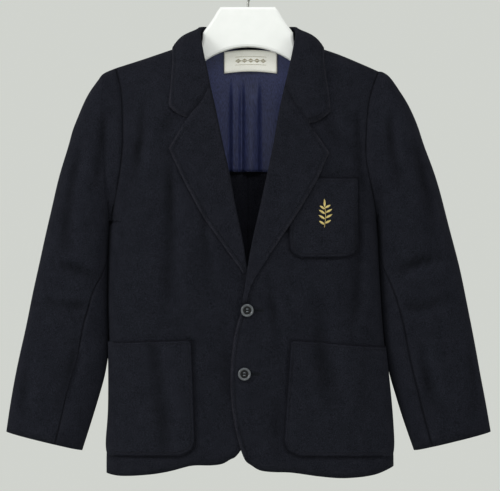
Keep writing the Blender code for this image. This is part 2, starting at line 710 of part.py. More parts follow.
def add_sleeves():
    for side in (-1, 1):
        under_steps = ARMHOLE_STEPS // 2

        def top_angles(progress, side=side):
            front, back = sleeve_angles(side, progress)
            behind = [-back * (1 - k / under_steps) for k in range(under_steps)]
            return behind + [front * k / ARMHOLE_STEPS for k in range(ARMHOLE_STEPS + 1)]

        def under_angles(progress, side=side):
            front, back = sleeve_angles(side, progress)
            end = 2 * math.pi - back
            return [front + (end - front) * k / under_steps for k in range(under_steps + 1)]

        sleeve_panel("sleeve_top_" + side_name(side), side, top_angles)
        sleeve_panel("sleeve_under_" + side_name(side), side, under_angles)


def turned_row(neck, fold, into, across, radius):
    """Points from a seam round a soft fold, up to where the fall of the cloth starts."""
    points = [neck]
    to_neck = unit(neck - fold)
    first = -math.atan2(np.dot(to_neck, into), -np.dot(to_neck, across))
    first = max(first, -math.pi / 2)
    for k in range(FOLD_STEPS + 1):
        angle = first + (math.pi / 2 - first) * k / FOLD_STEPS
        points.append(fold + radius * (into * (1 - math.cos(angle)) + across * math.sin(angle)))
    return points


def along_line(points, share):
    """The point at a share of the length of a polyline in x and z."""
    points = np.array(points)
    lengths = np.concatenate(([0], np.cumsum(np.linalg.norm(np.diff(points, axis=0), axis=1))))
    wanted = share * lengths[-1]
    return np.array([np.interp(wanted, lengths, points[:, k]) for k in range(2)])


def front_turn(side, z, radius):
    """The lapel's turn at a height: from the front's edge round the roll line."""
    x = edge_x(side, z)
    inset = roll_inset(side, z)
    level = on_body(side, -1, x + side * inset, z)[1]
    neck = np.array((x + side * (inset - LAPEL_SEAM_GAP), level + WALL, z))
    fold = np.array((x, level + WALL - radius, z))
    return turned_row(neck, fold, np.array((side, 0.0, 0.0)), np.array((0.0, -1.0, 0.0)), radius)


def lie_on_front(side, place, share, radius):
    """A point of turned-back cloth over the front: high at the roll, down at the edge."""
    level = on_body(side, -1, place[0], place[1])[1]
    edge_lift = WALL + LAPEL_GAP
    roll_lift = 2 * radius - WALL
    lift = edge_lift + max(roll_lift - edge_lift, 0.0) * (1 - share) ** 2
    over_pocket = ease((place[0] - OVER_POCKET_X) / OVER_POCKET_EASE)
    over_pocket *= ease((OVER_POCKET_Z - place[1]) / OVER_POCKET_EASE)
    if side > 0:
        lift += OVER_POCKET_LIFT * over_pocket
    return np.array((place[0], level - lift, place[1]))


def notched_end(side, start, tip, drop):
    """The seam from the roll line to the notch and on to a tip, in x and z."""
    bend = np.array(GORGE_BEND[side]) + (0, drop)
    notch = np.array(NOTCH[side]) + (0, drop)
    return (start, tuple(bend), tuple(notch), tip)


def add_lapels():
    for side in (-1, 1):
        rows = []
        edge = LAPEL_EDGE[side]
        for k in range(LAPEL_ROWS):
            down = k / (LAPEL_ROWS - 1)
            z = GORGE_Z + (BREAK_Z[side] - GORGE_Z) * down
            radius = LAPEL_ROLL + (LAPEL_ROLL_AT_BREAK - LAPEL_ROLL) * down
            row = front_turn(side, z, radius)
            start = np.array((row[-1][0], row[-1][2]))
            end_line = edge + ((edge_x(side, BREAK_Z[side]) + side * LAPEL_END, BREAK_Z[side]),)
            end = along_line(end_line, down)
            top = notched_end(side, (edge_x(side, GORGE_Z) + side * LAPEL_ROLL, GORGE_Z), edge[0], 0.0)
            for c in range(1, LAPEL_COLUMNS + 1):
                share = c / LAPEL_COLUMNS
                place = start + (end - start) * share
                bent = along_line(top, share) - (np.array(top[0]) + (np.array(top[-1]) - top[0]) * share)
                place = place + bent * max(1 - down / NOTCH_FADE, 0.0) ** 2
                row.append(lie_on_front(side, place, share, radius))
            rows.append(row)
        grid = np.array(rows)
        normals = normals_of(grid, (0, -1, 0))
        cloth("lapel_" + side_name(side), grid, grid - WALL * normals, "wool")


def collar_station(side, place):
    """Seam, fold and edge points of the collar at a place along it."""
    stations = list(range(len(COLLAR)))

    def value(column):
        return smooth(stations, [row[COLLAR_COLUMNS.index(column)] for row in COLLAR], place)

    seam = over_ridge(side, side * value("neck_x"), value("neck_drop"), 0.0)
    fold = np.array((side * value("fold_x"), value("fold_y"), value("fold_z")))
    edge_at = side * value("edge_" + side_name(side))
    edge = over_ridge(side, edge_at, value("edge_drop"), COLLAR_LIFT)
    return seam, fold, edge


def over_ridge(side, x, drop, lift):
    """A point of the body this far below the ridge, in front of it when drop is less
    than 0, moved off the cloth by lift."""
    face = -1 if drop < 0 else 1
    z = ridge_z(x) - abs(drop)
    point = on_body(side, face, x, z)
    if abs(drop) < RIDGE_RADIUS:
        lean = 1 - abs(drop) / RIDGE_RADIUS
        normal = np.array((0.0, face * math.sqrt(1 - lean ** 2), lean))
    else:
        normal = np.array((0.0, face, 0.0))
    return point + lift * normal


def clear_body(side, point):
    """Moves a point of the collar's fall out of the body's cloth."""
    x, y, z = point
    centre = ridge_z(x) - RIDGE_RADIUS
    away = math.hypot(y, z - centre)
    if z > centre:
        grow = max((RIDGE_RADIUS + COLLAR_LIFT) / away, 1.0)
        return np.array((x, y * grow, centre + (z - centre) * grow))
    face = -1 if y < 0 else 1
    level = abs(on_body(side, face, x, z)[1]) + COLLAR_LIFT
    return np.array((x, face * max(face * y, level), z))


def collar_half(side):
    """Rows of the collar from one gorge to the middle of the back."""
    first = front_turn(side, GORGE_Z + COLLAR_GAP, LAPEL_ROLL)
    start = (first[-1][0], first[-1][2])
    line = notched_end(side, start, COLLAR_TIP[side], COLLAR_GAP)
    for c in range(1, FALL_COLUMNS + 1):
        share = c / FALL_COLUMNS
        first.append(lie_on_front(side, along_line(line, share), share, LAPEL_ROLL))
    stations = [collar_station(side, place) for place in COLLAR_PLACES]
    folds = [first[1 + FOLD_STEPS // 2]] + [s[1] for s in stations]
    folds.append(folds[-2] * (-1, 1, 1))
    rows = [first]
    for k, (seam, fold, edge) in enumerate(stations):
        tangent = unit(folds[k + 2] - folds[k])
        to_edge = edge - fold
        to_edge = unit(to_edge - tangent * np.dot(to_edge, tangent))
        to_seam = seam - fold
        to_seam = unit(to_seam - tangent * np.dot(to_seam, tangent))
        into = unit(to_edge + to_seam)
        across = to_edge - to_seam
        across = unit(across - into * np.dot(across, into))
        neck = seam - WALL * across - (SEAM_GAP + PLY_GAP) * into
        row = turned_row(neck, fold, into, across, COLLAR_FOLD)
        start = row[-1]
        for c in range(1, FALL_COLUMNS + 1):
            share = c / FALL_COLUMNS
            point = start + (edge - start) * share
            point = point + across * COLLAR_BULGE * math.sin(math.pi * share)
            row.append(clear_body(side, point) if c < FALL_COLUMNS else edge)
        rows.append(row)
    return rows


def add_collar():
    right = collar_half(-1)
    left = collar_half(1)
    grid = np.array(right + left[-2::-1])
    normals = normals_of(grid, (0, 1, 0))
    cloth("collar", grid, grid - WALL * normals, "wool")


def add_pockets():
    for name, row in POCKETS.items():
        side, in_top, in_low, out, z_in_top, z_out_top, z_in_low, z_out_low, radius = row
        rows = []
        height = z_in_top - z_in_low
        for r in range(POCKET_ROWS):
            down = r / (POCKET_ROWS - 1)
            down = 1 - (1 - down) ** POCKET_ROW_POWER
            left_over = max(radius - (1 - down) * height, 0.0)
            inset = radius - math.sqrt(max(radius ** 2 - left_over ** 2, 0.0))
            start_z = z_in_top + (z_in_low - z_in_top) * down
            end_z = z_out_top + (z_out_low - z_out_top) * down
            start_x = in_top + (in_low - in_top) * down + inset
            end = POCKET_OUT_SHARE - POCKET_ROUND * inset / radius
            if out:
                end = (out - inset) / half_width(side, end_z)
            rows.append(body_row(side, -1, side * start_x, start_z, end, end_z,
                                 lambda x, along: 0.0, graded(*POCKET_COLUMNS_ACROSS)))
        grid = np.array(rows)
        normals = normals_of(grid, (0, -1, 0))
        inner = grid + POCKET_GAP * normals
        cloth(name, inner + WALL * normals, inner, "wool")


def lining_point(x, z, lift):
    """A point inside the back, lift in front of its cloth, with the lining's pleat."""
    side = 1 if x >= 0 else -1
    y = on_body(side, 1, x, z)[1] - WALL - LINING_GAP - LINING_WALL - lift
    opened = PLEAT_AT_NECK + (1 - PLEAT_AT_NECK) * ease((LABEL_Z[0] - z) / PLEAT_OPENS)
    for centre, width, height in PLEATS:
        y -= opened * height * math.exp(-((x - centre) / width) ** 2)
    return np.array((x, y, z))


def add_lining():
    rows = []
    for r in range(LINING_ROWS):
        down = r / (LINING_ROWS - 1)
        row = []
        for x in LINING_X:
            top = min(neck_back_z(x), ridge_z(x) - LINING_TOP_DROP) - LINING_TOP_GAP
            row.append(lining_point(x, top + (LINING_HEM_Z - top) * down, 0.0))
        rows.append(row)
    grid = np.array(rows)
    behind = grid.copy()
    behind[:, :, 1] += LINING_WALL
    cloth("lining_back", grid, behind, "lining")


def add_label():
    rows = []
    for r in range(LABEL_ROWS):
        row = []
        for c in range(LABEL_COLUMNS):
            x = LABEL_X[0] + (LABEL_X[1] - LABEL_X[0]) * c / (LABEL_COLUMNS - 1)
            z = LABEL_Z[0] + (LABEL_Z[1] - LABEL_Z[0]) * r / (LABEL_ROWS - 1)
            z += LABEL_ARCH * math.sin(math.pi * c / (LABEL_COLUMNS - 1))
            row.append(lining_point(x, z, LABEL_WALL + LABEL_GAP))
        rows.append(row)
    grid = np.array(rows)
    grid[:, :, 1] = grid[:, :, 1].min(axis=1, keepdims=True)
    behind = grid.copy()
    behind[:, :, 1] += LABEL_WALL
    cloth("label", grid, behind, "label")


def add_buttons():
    """Four-hole buttons: a turned disc with a raised rim, lying on the left front."""
    profile = (
        (0.0, BUTTON_HEIGHT - BUTTON_DISH),
        (BUTTON_RADIUS - 1.5 * BUTTON_RIM, BUTTON_HEIGHT - BUTTON_DISH),
        (BUTTON_RADIUS - BUTTON_RIM, BUTTON_HEIGHT),
        (BUTTON_RADIUS - BUTTON_RIM / 3, BUTTON_HEIGHT - BUTTON_RIM / 5),
        (BUTTON_RADIUS, BUTTON_HEIGHT - BUTTON_RIM / 1.5),
        (BUTTON_RADIUS - BUTTON_RIM / 2, BUTTON_RIM / 3),
        (BUTTON_RADIUS - BUTTON_RIM * 1.3, 0.0),
        (0.0, 0.0),
    )
    for name, (x, z) in BUTTONS.items():
        shape = bmesh.new()
        points = [shape.verts.new((r, 0.0, h)) for r, h in profile]
        edges = [shape.edges.new(pair) for pair in zip(points, points[1:])]
        bmesh.ops.spin(shape, geom=points + edges, cent=(0, 0, 0), axis=(0, 0, 1),
                       angle=2 * math.pi, steps=BUTTON_SIDES, use_merge=True)
        bmesh.ops.remove_doubles(shape, verts=shape.verts[:], dist=1e-6)
        bmesh.ops.recalc_face_normals(shape, faces=shape.faces[:])
        mesh = bpy.data.meshes.new(name)
        shape.to_mesh(mesh)
        shape.free()
        mesh.shade_smooth()
        mesh.set_sharp_from_angle(angle=SHARP_ANGLE)
        mesh.materials.append(material("button"))
        button = bpy.data.objects.new(name, mesh)
        bpy.context.collection.objects.link(button)
        level = on_body(1, -1, x, z)[1]
        button.location = (x, level - BUTTON_GAP, z)
        button.rotation_euler = (math.pi / 2, 0, 0)
        hole_cutter(button)


def hole_cutter(button):
    """The button's four thread holes, cut by four short rods that move with it."""
    shape = bmesh.new()
    for dx in (-1, 1):
        for dy in (-1, 1):
            made = bmesh.ops.create_cone(shape, cap_ends=True, segments=8, radius1=HOLE_RADIUS,
                                         radius2=HOLE_RADIUS, depth=4 * BUTTON_HEIGHT)
            bmesh.ops.translate(shape, verts=made["verts"],
                                vec=(dx * HOLE_SPACING / 2, dy * HOLE_SPACING / 2, 0))
    mesh = bpy.data.meshes.new(button.name + "_holes")
    shape.to_mesh(mesh)
    shape.free()
    cutter = bpy.data.objects.new(button.name + "_holes", mesh)
    bpy.context.collection.objects.link(cutter)
    cutter.parent = button
    cutter.hide_render = True
    cutter.display_type = "WIRE"
    cut = button.modifiers.new("holes", "BOOLEAN")
    cut.object = cutter
    cut.operation = "DIFFERENCE"


def hanger_outline():
    """Half of the hanger's outline, from the middle of its top round to the arch."""
    points = [(0.0, PLATE_TOP_Z), (PLATE_TOP_X, PLATE_TOP_Z), *PLATE_SIDE]
    clear = WALL + ARM_CLEAR
    for k in range(ARM_STEPS + 1):
        x = ARM_START_X + (ARM_TIP_X - ARM_START_X) * k / ARM_STEPS
        points.append((x, ridge_line(x) - clear * math.hypot(1, RIDGE_SLOPE)))
    tip_z = points[-1][1]
    points += [(ARM_TIP_X + ARM_HEIGHT * out, tip_z + ARM_HEIGHT * up) for out, up in ARM_TIP]
    start_x, start_z = points[-1]
    for k in range(1, ARM_STEPS):
        share = k / ARM_STEPS
        points.append((start_x + (ARCH_END[0] - start_x) * share, start_z + (ARCH_END[1] - start_z) * share))
    sag = ARCH_TOP_Z - ARCH_END[1]
    radius = (ARCH_END[0] ** 2 + sag ** 2) / (2 * sag)
    for k in range(ARCH_STEPS + 1):
        x = ARCH_END[0] * (1 - k / ARCH_STEPS)
        points.append((x, ARCH_TOP_Z - radius + math.sqrt(radius ** 2 - x ** 2)))
    return points


def add_hanger():
    half = hanger_outline()
    outline = half + [(-x, z) for x, z in half[-2:0:-1]]
    shape = bmesh.new()
    back = [shape.verts.new((x, HANGER_THICK / 2, z)) for x, z in outline]
    face = shape.faces.new(back)
    grown = bmesh.ops.extrude_face_region(shape, geom=[face])
    moved = [item for item in grown["geom"] if isinstance(item, bmesh.types.BMVert)]
    bmesh.ops.translate(shape, verts=moved, vec=(0, -HANGER_THICK, 0))
    bmesh.ops.recalc_face_normals(shape, faces=shape.faces[:])
    mesh = bpy.data.meshes.new("hanger_body")
    shape.to_mesh(mesh)
    shape.free()
    mesh.shade_smooth()
    mesh.materials.append(material("hanger"))
    body = bpy.data.objects.new("hanger_body", mesh)
    bpy.context.collection.objects.link(body)
    rounding = body.modifiers.new("rounding", "BEVEL")
    rounding.width = HANGER_EDGE
    rounding.segments = 2
    rounding.limit_method = "ANGLE"
    rounding.angle_limit = math.radians(60)


def add_hook():
    """A wire from the plate's top, bent over into a hook whose inside top is the origin."""
    bend = HOOK_RADIUS + WIRE_RADIUS
    centre_z = -HOOK_RADIUS
    shank_z = PLATE_TOP_Z + HOOK_STRAIGHT
    points = [(0.0, PLATE_TOP_Z + SEAM_GAP), (0.0, shank_z)]
    for k in range(1, HOOK_SHANK_STEPS + 1):
        share = k / HOOK_SHANK_STEPS
        x = bend * ease(share)
        z = shank_z + (centre_z - shank_z) * share
        points.append((x, z))
    for k in range(1, HOOK_STEPS + 1):
        angle = HOOK_TURN * k / HOOK_STEPS
        points.append((bend * math.cos(angle), centre_z + bend * math.sin(angle)))
    curve = bpy.data.curves.new("hanger_hook", "CURVE")
    curve.dimensions = "3D"
    curve.bevel_depth = WIRE_RADIUS
    curve.bevel_resolution = 2
    curve.use_fill_caps = True
    line = curve.splines.new("POLY")
    line.points.add(len(points) - 1)
    for point, (x, z) in zip(line.points, points):
        point.co = (x, 0.0, z, 1.0)
    curve.materials.append(material("wire"))
    hook = bpy.data.objects.new("hanger_hook", curve)
    bpy.context.collection.objects.link(hook)


def main():
    for old in list(bpy.data.objects):
        bpy.data.objects.remove(old, do_unlink=True)
    for side in (-1, 1):
        body_panel("front_" + side_name(side), side, -1, front_grid(side))
        body_panel("back_" + side_name(side), side, 1, back_grid(side))
    add_sleeves()
    add_collar()
    add_lapels()
    add_pockets()
    add_lining()
    add_label()
    add_buttons()
    add_hanger()
    add_hook()
    bpy.context.view_layer.update()


main()
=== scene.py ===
# %% [markdown]
# # A boy's navy blazer on a moulded hanger
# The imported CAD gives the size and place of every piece. This lesson dresses each of them:
# wool, lining, stitches, buttons and hanger, in the same metres and the same frame.

# %% Load the frame
import json
import math

import bmesh
import bpy
import numpy as np
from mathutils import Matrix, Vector
from mathutils.bvhtree import BVHTree

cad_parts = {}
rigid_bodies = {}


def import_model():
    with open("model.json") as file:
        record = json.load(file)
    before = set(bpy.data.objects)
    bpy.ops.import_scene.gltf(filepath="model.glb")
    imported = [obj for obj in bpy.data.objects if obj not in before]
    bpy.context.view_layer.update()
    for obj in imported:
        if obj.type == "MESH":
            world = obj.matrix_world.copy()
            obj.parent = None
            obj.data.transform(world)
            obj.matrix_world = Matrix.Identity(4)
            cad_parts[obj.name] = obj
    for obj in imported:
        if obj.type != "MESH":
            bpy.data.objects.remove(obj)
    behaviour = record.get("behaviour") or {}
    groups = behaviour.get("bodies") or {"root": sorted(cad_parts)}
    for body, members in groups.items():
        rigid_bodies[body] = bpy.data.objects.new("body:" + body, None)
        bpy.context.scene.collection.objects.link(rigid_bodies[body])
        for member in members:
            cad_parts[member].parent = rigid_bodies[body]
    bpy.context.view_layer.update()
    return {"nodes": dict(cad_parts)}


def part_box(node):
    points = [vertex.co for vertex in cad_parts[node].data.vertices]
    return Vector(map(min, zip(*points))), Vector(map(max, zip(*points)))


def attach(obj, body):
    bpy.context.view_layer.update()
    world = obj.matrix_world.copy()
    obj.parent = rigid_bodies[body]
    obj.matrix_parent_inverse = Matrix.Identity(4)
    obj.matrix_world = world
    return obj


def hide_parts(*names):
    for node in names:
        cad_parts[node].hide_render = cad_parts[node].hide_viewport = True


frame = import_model()
MM = 0.001

# %% [markdown]
# Operators work on whatever is selected, and the loaded frame leaves its nodes selected.
# So each step first selects its own piece and nothing else.

# %% Select one piece, and finish a modifier
def select_none():
    for other in bpy.context.view_layer.objects:
        other.select_set(False)


def select_only(piece):
    select_none()
    piece.select_set(True)
    bpy.context.view_layer.objects.active = piece


def finish_modifier(piece, kind, **settings):
    """Adds a modifier to a piece and applies it at once."""
    made = piece.modifiers.new(kind.lower(), kind)
    for name, value in settings.items():
        setattr(made, name, value)
    select_only(piece)
    bpy.ops.object.modifier_apply(modifier=made.name)


# %% [markdown]
# ## Materials
# A screen colour is stored bent to the eye's response, and a shader wants plain light, so one
# function turns sRGB hex into linear values. A second one adds any node with its settings.

# %% Colour and node helpers
def linear(hex_colour):
    parts = [int(hex_colour[i:i + 2], 16) / 255 for i in (1, 3, 5)]
    return tuple(p / 12.92 if p <= 0.04045 else ((p + 0.055) / 1.055) ** 2.4 for p in parts) + (1.0,)


def add(tree, kind, inputs=None, **settings):
    """Adds a shader node: settings are its own, inputs are numbers or other nodes' sockets."""
    made = tree.nodes.new("ShaderNode" + kind)
    for name, value in settings.items():
        setattr(made, name, value)
    for socket, value in (inputs or {}).items():
        if isinstance(value, bpy.types.NodeSocket):
            tree.links.new(value, made.inputs[socket])
        else:
            made.inputs[socket].default_value = value
    return made


def new_material(name, **shader_values):
    """A material with its Principled shader's plain values set."""
    made = bpy.data.materials.new(name)
    made.use_nodes = True
    tree = made.node_tree
    shader = tree.nodes["Principled BSDF"]
    for socket, value in shader_values.items():
        shader.inputs[socket.replace("_", " ")].default_value = value
    return made, tree, shader


print("mid grey on screen is %.3f as plain light" % linear("#808080")[0])

# %% [markdown]
# Beside each stitched edge the cloth is pulled down in a narrow channel, and the padded lip
# outside it swells. The turned-up hem is a second layer, and a seam lies in a ditch. Every cloth
# piece carries its distance from such edges in millimetres, so a mask is a soft step in that
# distance and follows the cut by itself.

# %% Masks from distances
STITCH_INSET = 5.5  # mm from the edge to the row of stitches
CHANNEL = 1.1  # mm from the row to where the cloth is level again
RIM = (1.2, 3.2)  # mm from the edge over which the rim's tint fades; on the pockets it is a painted shadow
HEM_TURN = 21.0  # mm of cloth turned up inside the hem
DITCH = (0.3, 2.2)  # mm from a seam to where the cloth is level again
PAINTED_SHADE_PRESS = (-1.2, 2.8)  # mm of crease, from a raised shoulder to a trough
PAINTED_SHADE_RANGE = (1.30, 0.58)  # the colour's factor at those two: painted highlight on the shoulder, painted shade in the trough


def soft_step(tree, value, full, none):
    """1 where a value is under full, fading to 0 at none."""
    made = add(tree, "MapRange", {"Value": value, "From Min": full, "From Max": none,
                                  "To Min": 1.0, "To Max": 0.0}, interpolation_type="SMOOTHSTEP")
    return made.outputs[0]


def near_mask(tree, attribute, full, none):
    """1 where a distance is under full, fading to 0 at none, both in mm."""
    distance = add(tree, "Attribute", attribute_name=attribute)
    return soft_step(tree, distance.outputs["Fac"], full, none)


def channel_mask(tree):
    """1 in the stitched channel and 0 outside it."""
    edge = add(tree, "Attribute", attribute_name="edge_mm")
    off = add(tree, "Math", {0: edge.outputs["Fac"], 1: STITCH_INSET}, operation="SUBTRACT")
    away = add(tree, "Math", {0: off.outputs[0]}, operation="ABSOLUTE")
    return soft_step(tree, away.outputs[0], 0.0, CHANNEL)


def fold_painted_shade(tree):
    """A factor for the colour: painted shade in a fold's trough, painted highlight on its shoulder."""
    press = add(tree, "Attribute", attribute_name="fold_mm")
    return add(tree, "MapRange", {"Value": press.outputs["Fac"],
                                  "From Min": PAINTED_SHADE_PRESS[0], "From Max": PAINTED_SHADE_PRESS[1],
                                  "To Min": PAINTED_SHADE_RANGE[0], "To Max": PAINTED_SHADE_RANGE[1]}).outputs[0]


print("mm: stitches", STITCH_INSET, "rim", RIM, "hem", HEM_TURN, "seam ditch", DITCH)

# %% [markdown]
# Wool flannel is woven, then milled and brushed until a nap hides the weave. The eye gets a
# deep navy with soft mottling, hardly any shine, and a faint light rim where the nap catches
# the light, which is the sheen here. Fibre clumps are about 1 mm, dye clouds about 15 mm.
# A fold's trough gets painted shade and its shoulder a painted highlight, set by the crease's depth.
# The stitched channel and the seam's ditch get painted shade. The very edge of front and lapels is
# drawn lighter, while a patch pocket's edge gets a painted shadow.

# %% Brushed wool flannel
SEAM_SHADE = (0.48, 0.48, 0.50, 1.0)


def tinted(tree, colour, mask, tint):
    """A colour, multiplied by a tint where the mask is 1."""
    made = add(tree, "Mix", {0: mask}, data_type="RGBA", blend_type="MULTIPLY")
    tree.links.new(colour, made.inputs[6])
    made.inputs[7].default_value = tint
    return made.outputs[2]


def weighted(tree, value, weight, onto):
    """A value times its weight, added onto another one."""
    return add(tree, "Math", {0: value, 1: weight, 2: onto}, operation="MULTIPLY_ADD").outputs[0]


def wool_flannel(name, dark, light, rim, channel_shade):
    made, tree, shader = new_material(name, Roughness=0.95, Sheen_Weight=0.02, Sheen_Roughness=0.5,
                                      Specular_IOR_Level=0.05)
    shader.inputs["Sheen Tint"].default_value = linear("#9aa2b8")
    place = add(tree, "TexCoord").outputs["Object"]
    tufts = add(tree, "TexNoise", {"Vector": place, "Scale": 900.0, "Detail": 3.0, "Roughness": 0.8})
    clouds = add(tree, "TexNoise", {"Vector": place, "Scale": 60.0, "Detail": 2.0})
    nap = add(tree, "TexNoise", {"Vector": place, "Scale": 1900.0, "Detail": 3.0})
    both = weighted(tree, clouds.outputs["Fac"], 0.10, tufts.outputs["Fac"])
    spread = add(tree, "MapRange", {"Value": both, "From Min": 0.42, "From Max": 0.68})
    tone = add(tree, "ValToRGB", {"Fac": spread.outputs[0]})
    tone.color_ramp.elements[0].color = linear(dark)
    tone.color_ramp.elements[1].color = linear(light)
    # painted shade in fold troughs, painted highlight on their shoulders
    fold_shaded_tone = add(tree, "VectorMath", {0: tone.outputs["Color"], "Scale": fold_painted_shade(tree)},
                 operation="SCALE")
    channel = channel_mask(tree)
    lip = near_mask(tree, "edge_mm", STITCH_INSET - CHANNEL, STITCH_INSET)
    hem = near_mask(tree, "hem_mm", HEM_TURN - 1.5, HEM_TURN + 0.5)
    seam = near_mask(tree, "seam_mm", *DITCH)
    # painted shade in the stitched channel
    colour = tinted(tree, fold_shaded_tone.outputs[0], channel, channel_shade)
    # the rim's tint: lighter on front and lapels, a painted shadow along the pockets' edges
    colour = tinted(tree, colour, near_mask(tree, "edge_mm", *RIM), rim)
    colour = tinted(tree, colour, seam, SEAM_SHADE)
    tree.links.new(colour, shader.inputs["Base Color"])
    height = weighted(tree, nap.outputs["Fac"], 0.45, tufts.outputs["Fac"])
    height = weighted(tree, channel, -1.0, height)
    height = weighted(tree, lip, 0.9, height)
    height = weighted(tree, hem, 0.6, height)
    height = weighted(tree, seam, -2.2, height)
    bump = add(tree, "Bump", {"Height": height, "Strength": 0.6, "Distance": 0.4 * MM})
    tree.links.new(bump.outputs["Normal"], shader.inputs["Normal"])
    return made


FLANNEL = wool_flannel("wool_flannel_brushed_navy", "#05060a", "#1e1f26",
                       rim=(1.5, 1.42, 1.35, 1.0), channel_shade=(0.78, 0.78, 0.80, 1.0))
# The pocket's copy gets a painted shadow along its rim and less painted shade in its channel.
POCKET_FLANNEL = wool_flannel("wool_flannel_pocket_navy", "#05060a", "#1f2027",
                              rim=(0.45, 0.45, 0.48, 1.0), channel_shade=(0.88, 0.88, 0.90, 1.0))
print("flannel nodes", len(FLANNEL.node_tree.nodes))

# %% [markdown]
# Sateen lining floats its weft over four warps, so it is smooth and shines along the thread.
# The threads are 0.15 mm; they are drawn 0.6 mm wide so that they show, stretched upright.

# %% Sateen lining and woven label
def stretched_threads(tree, across, along):
    """Noise drawn out along Z, as threads are."""
    place = add(tree, "TexCoord")
    turned = add(tree, "Mapping", {"Vector": place.outputs["Object"], "Scale": (across, across, along)})
    return add(tree, "TexNoise", {"Vector": turned.outputs[0], "Scale": 1.0, "Detail": 3.0})


def woven(name, dark, light, across, along, strength, **values):
    made, tree, shader = new_material(name, **values)
    threads = stretched_threads(tree, across, along)
    tone = add(tree, "ValToRGB", {"Fac": threads.outputs["Fac"]})
    tone.color_ramp.elements[0].position = 0.3
    tone.color_ramp.elements[1].position = 0.7
    tone.color_ramp.elements[0].color = linear(dark)
    tone.color_ramp.elements[1].color = linear(light)
    tree.links.new(tone.outputs["Color"], shader.inputs["Base Color"])
    bump = add(tree, "Bump", {"Height": threads.outputs["Fac"], "Strength": strength,
                              "Distance": 0.2 * MM})
    tree.links.new(bump.outputs["Normal"], shader.inputs["Normal"])
    return made


SATEEN = woven("sateen_lining_navy", "#161a32", "#373d66", 1700.0, 120.0, 0.3, Roughness=0.42,
               Specular_IOR_Level=0.3)
DAMASK = woven("damask_label_cream", "#f1efe6", "#fffef8", 2400.0, 600.0, 0.35, Roughness=0.55,
               Sheen_Weight=0.2)
THREAD = woven("sewing_thread_polyester_navy", "#090a0d", "#1a1c22", 4000.0, 2500.0, 0.4,
               Roughness=0.75, Specular_IOR_Level=0.12)
TWIST = woven("buttonhole_twist_slate", "#0c0e12", "#191b20", 4000.0, 2500.0, 0.4,
              Roughness=0.8, Specular_IOR_Level=0.1)
SHANK_THREAD = woven("button_thread_grey", "#5a5f66", "#8b9097", 4000.0, 2500.0, 0.4, Roughness=0.5)
BRONZE = woven("label_weft_bronze", "#8d8468", "#b3a988", 3000.0, 2200.0, 0.3, Roughness=0.5)
GOLD = woven("embroidery_thread_gold", "#a8913f", "#e3d39a", 3000.0, 2200.0, 0.4, Roughness=0.36,
             Metallic=0.55)
print("woven", [made.name for made in (SATEEN, DAMASK, THREAD, TWIST, SHANK_THREAD, BRONZE, GOLD)])

# %% [markdown]
# Buttons are cast polyester, turned and tumbled to a soft gloss. The dish gets a darker, duller
# material: painted shade. The hanger is injection moulded polystyrene, white with a faint
# orange-peel skin. The hook is nickel-plated wire.

# %% Polyester, polystyrene and plated wire
def moulded(name, dark, light, grain, strength, **values):
    made, tree, shader = new_material(name, **values)
    place = add(tree, "TexCoord")
    clouds = add(tree, "TexNoise", {"Vector": place.outputs["Object"], "Scale": grain, "Detail": 4.0})
    tone = add(tree, "ValToRGB", {"Fac": clouds.outputs["Fac"]})
    tone.color_ramp.elements[0].color = linear(dark)
    tone.color_ramp.elements[1].color = linear(light)
    tree.links.new(tone.outputs["Color"], shader.inputs["Base Color"])
    skin = add(tree, "TexNoise", {"Vector": place.outputs["Object"], "Scale": 5 * grain, "Detail": 2.0})
    bump = add(tree, "Bump", {"Height": skin.outputs["Fac"], "Strength": strength,
                              "Distance": 0.1 * MM})
    tree.links.new(bump.outputs["Normal"], shader.inputs["Normal"])
    return made


POLYESTER = moulded("polyester_button_slate", "#2c2f33", "#54585d", 420.0, 0.10, Roughness=0.30,
                    Coat_Weight=0.35)
# A darker, duller material for the button's dish: painted shade.
POLYESTER_DISH_SHADE = moulded("polyester_button_dish_painted_shade", "#050607", "#101214", 420.0, 0.10, Roughness=0.55,
                         Specular_IOR_Level=0.2)
POLYSTYRENE = moulded("polystyrene_hanger_white", "#d6d8d6", "#dfe0df", 60.0, 0.12, Roughness=0.32,
                      IOR=1.59)
NICKEL = moulded("nickel_plated_wire", "#6f706c", "#8b8c88", 300.0, 0.06, Roughness=0.22, Metallic=1.0)
print("moulded", [made.name for made in (POLYESTER, POLYESTER_DISH_SHADE, POLYSTYRENE, NICKEL)])

# %% [markdown]
# ## Cloth pieces
# A CAD solid is a coarse, faceted wall. A copy of it is merged into one skin, its triangles are
# joined back to squares, its cut edges are marked to stay crisp, and two rounds of subdivision
# turn the facets into cloth that flows. Subdivision alone would shrink the curves, so the cage
# is first moved out by what it would lose: the cloth then passes through the CAD's own points.
# A CAD seam is a gap of 0.4 mm. Sewn cloth has none, so each piece first grows 0.25 mm there.

# %% Turn a CAD wall into smooth cloth
def outward_of(node):
    """Which way the good side of a piece faces, as a function of a point and its normal."""
    if node.startswith("back"):
        return lambda point, normal: normal[..., 1]
    if node == "collar":
        return lambda point, normal: normal[..., 0] * point[..., 0] + normal[..., 1] * point[..., 1]
    return lambda point, normal: -normal[..., 1]


def copy_node(node):
    """A merged copy of a CAD node, as a new piece."""
    mesh = frame["nodes"][node].data.copy()
    mesh.materials.clear()
    for spare in ("custom_normal", "sharp_edge", "sharp_face"):
        if spare in mesh.attributes:
            mesh.attributes.remove(mesh.attributes[spare])
    piece = bpy.data.objects.new(node + "_piece", mesh)
    bpy.context.scene.collection.objects.link(piece)
    select_only(piece)
    bpy.ops.object.mode_set(mode="EDIT")
    bpy.ops.mesh.select_all(action="SELECT")
    bpy.ops.mesh.remove_doubles(threshold=1e-6)
    bpy.ops.object.mode_set(mode="OBJECT")
    return piece


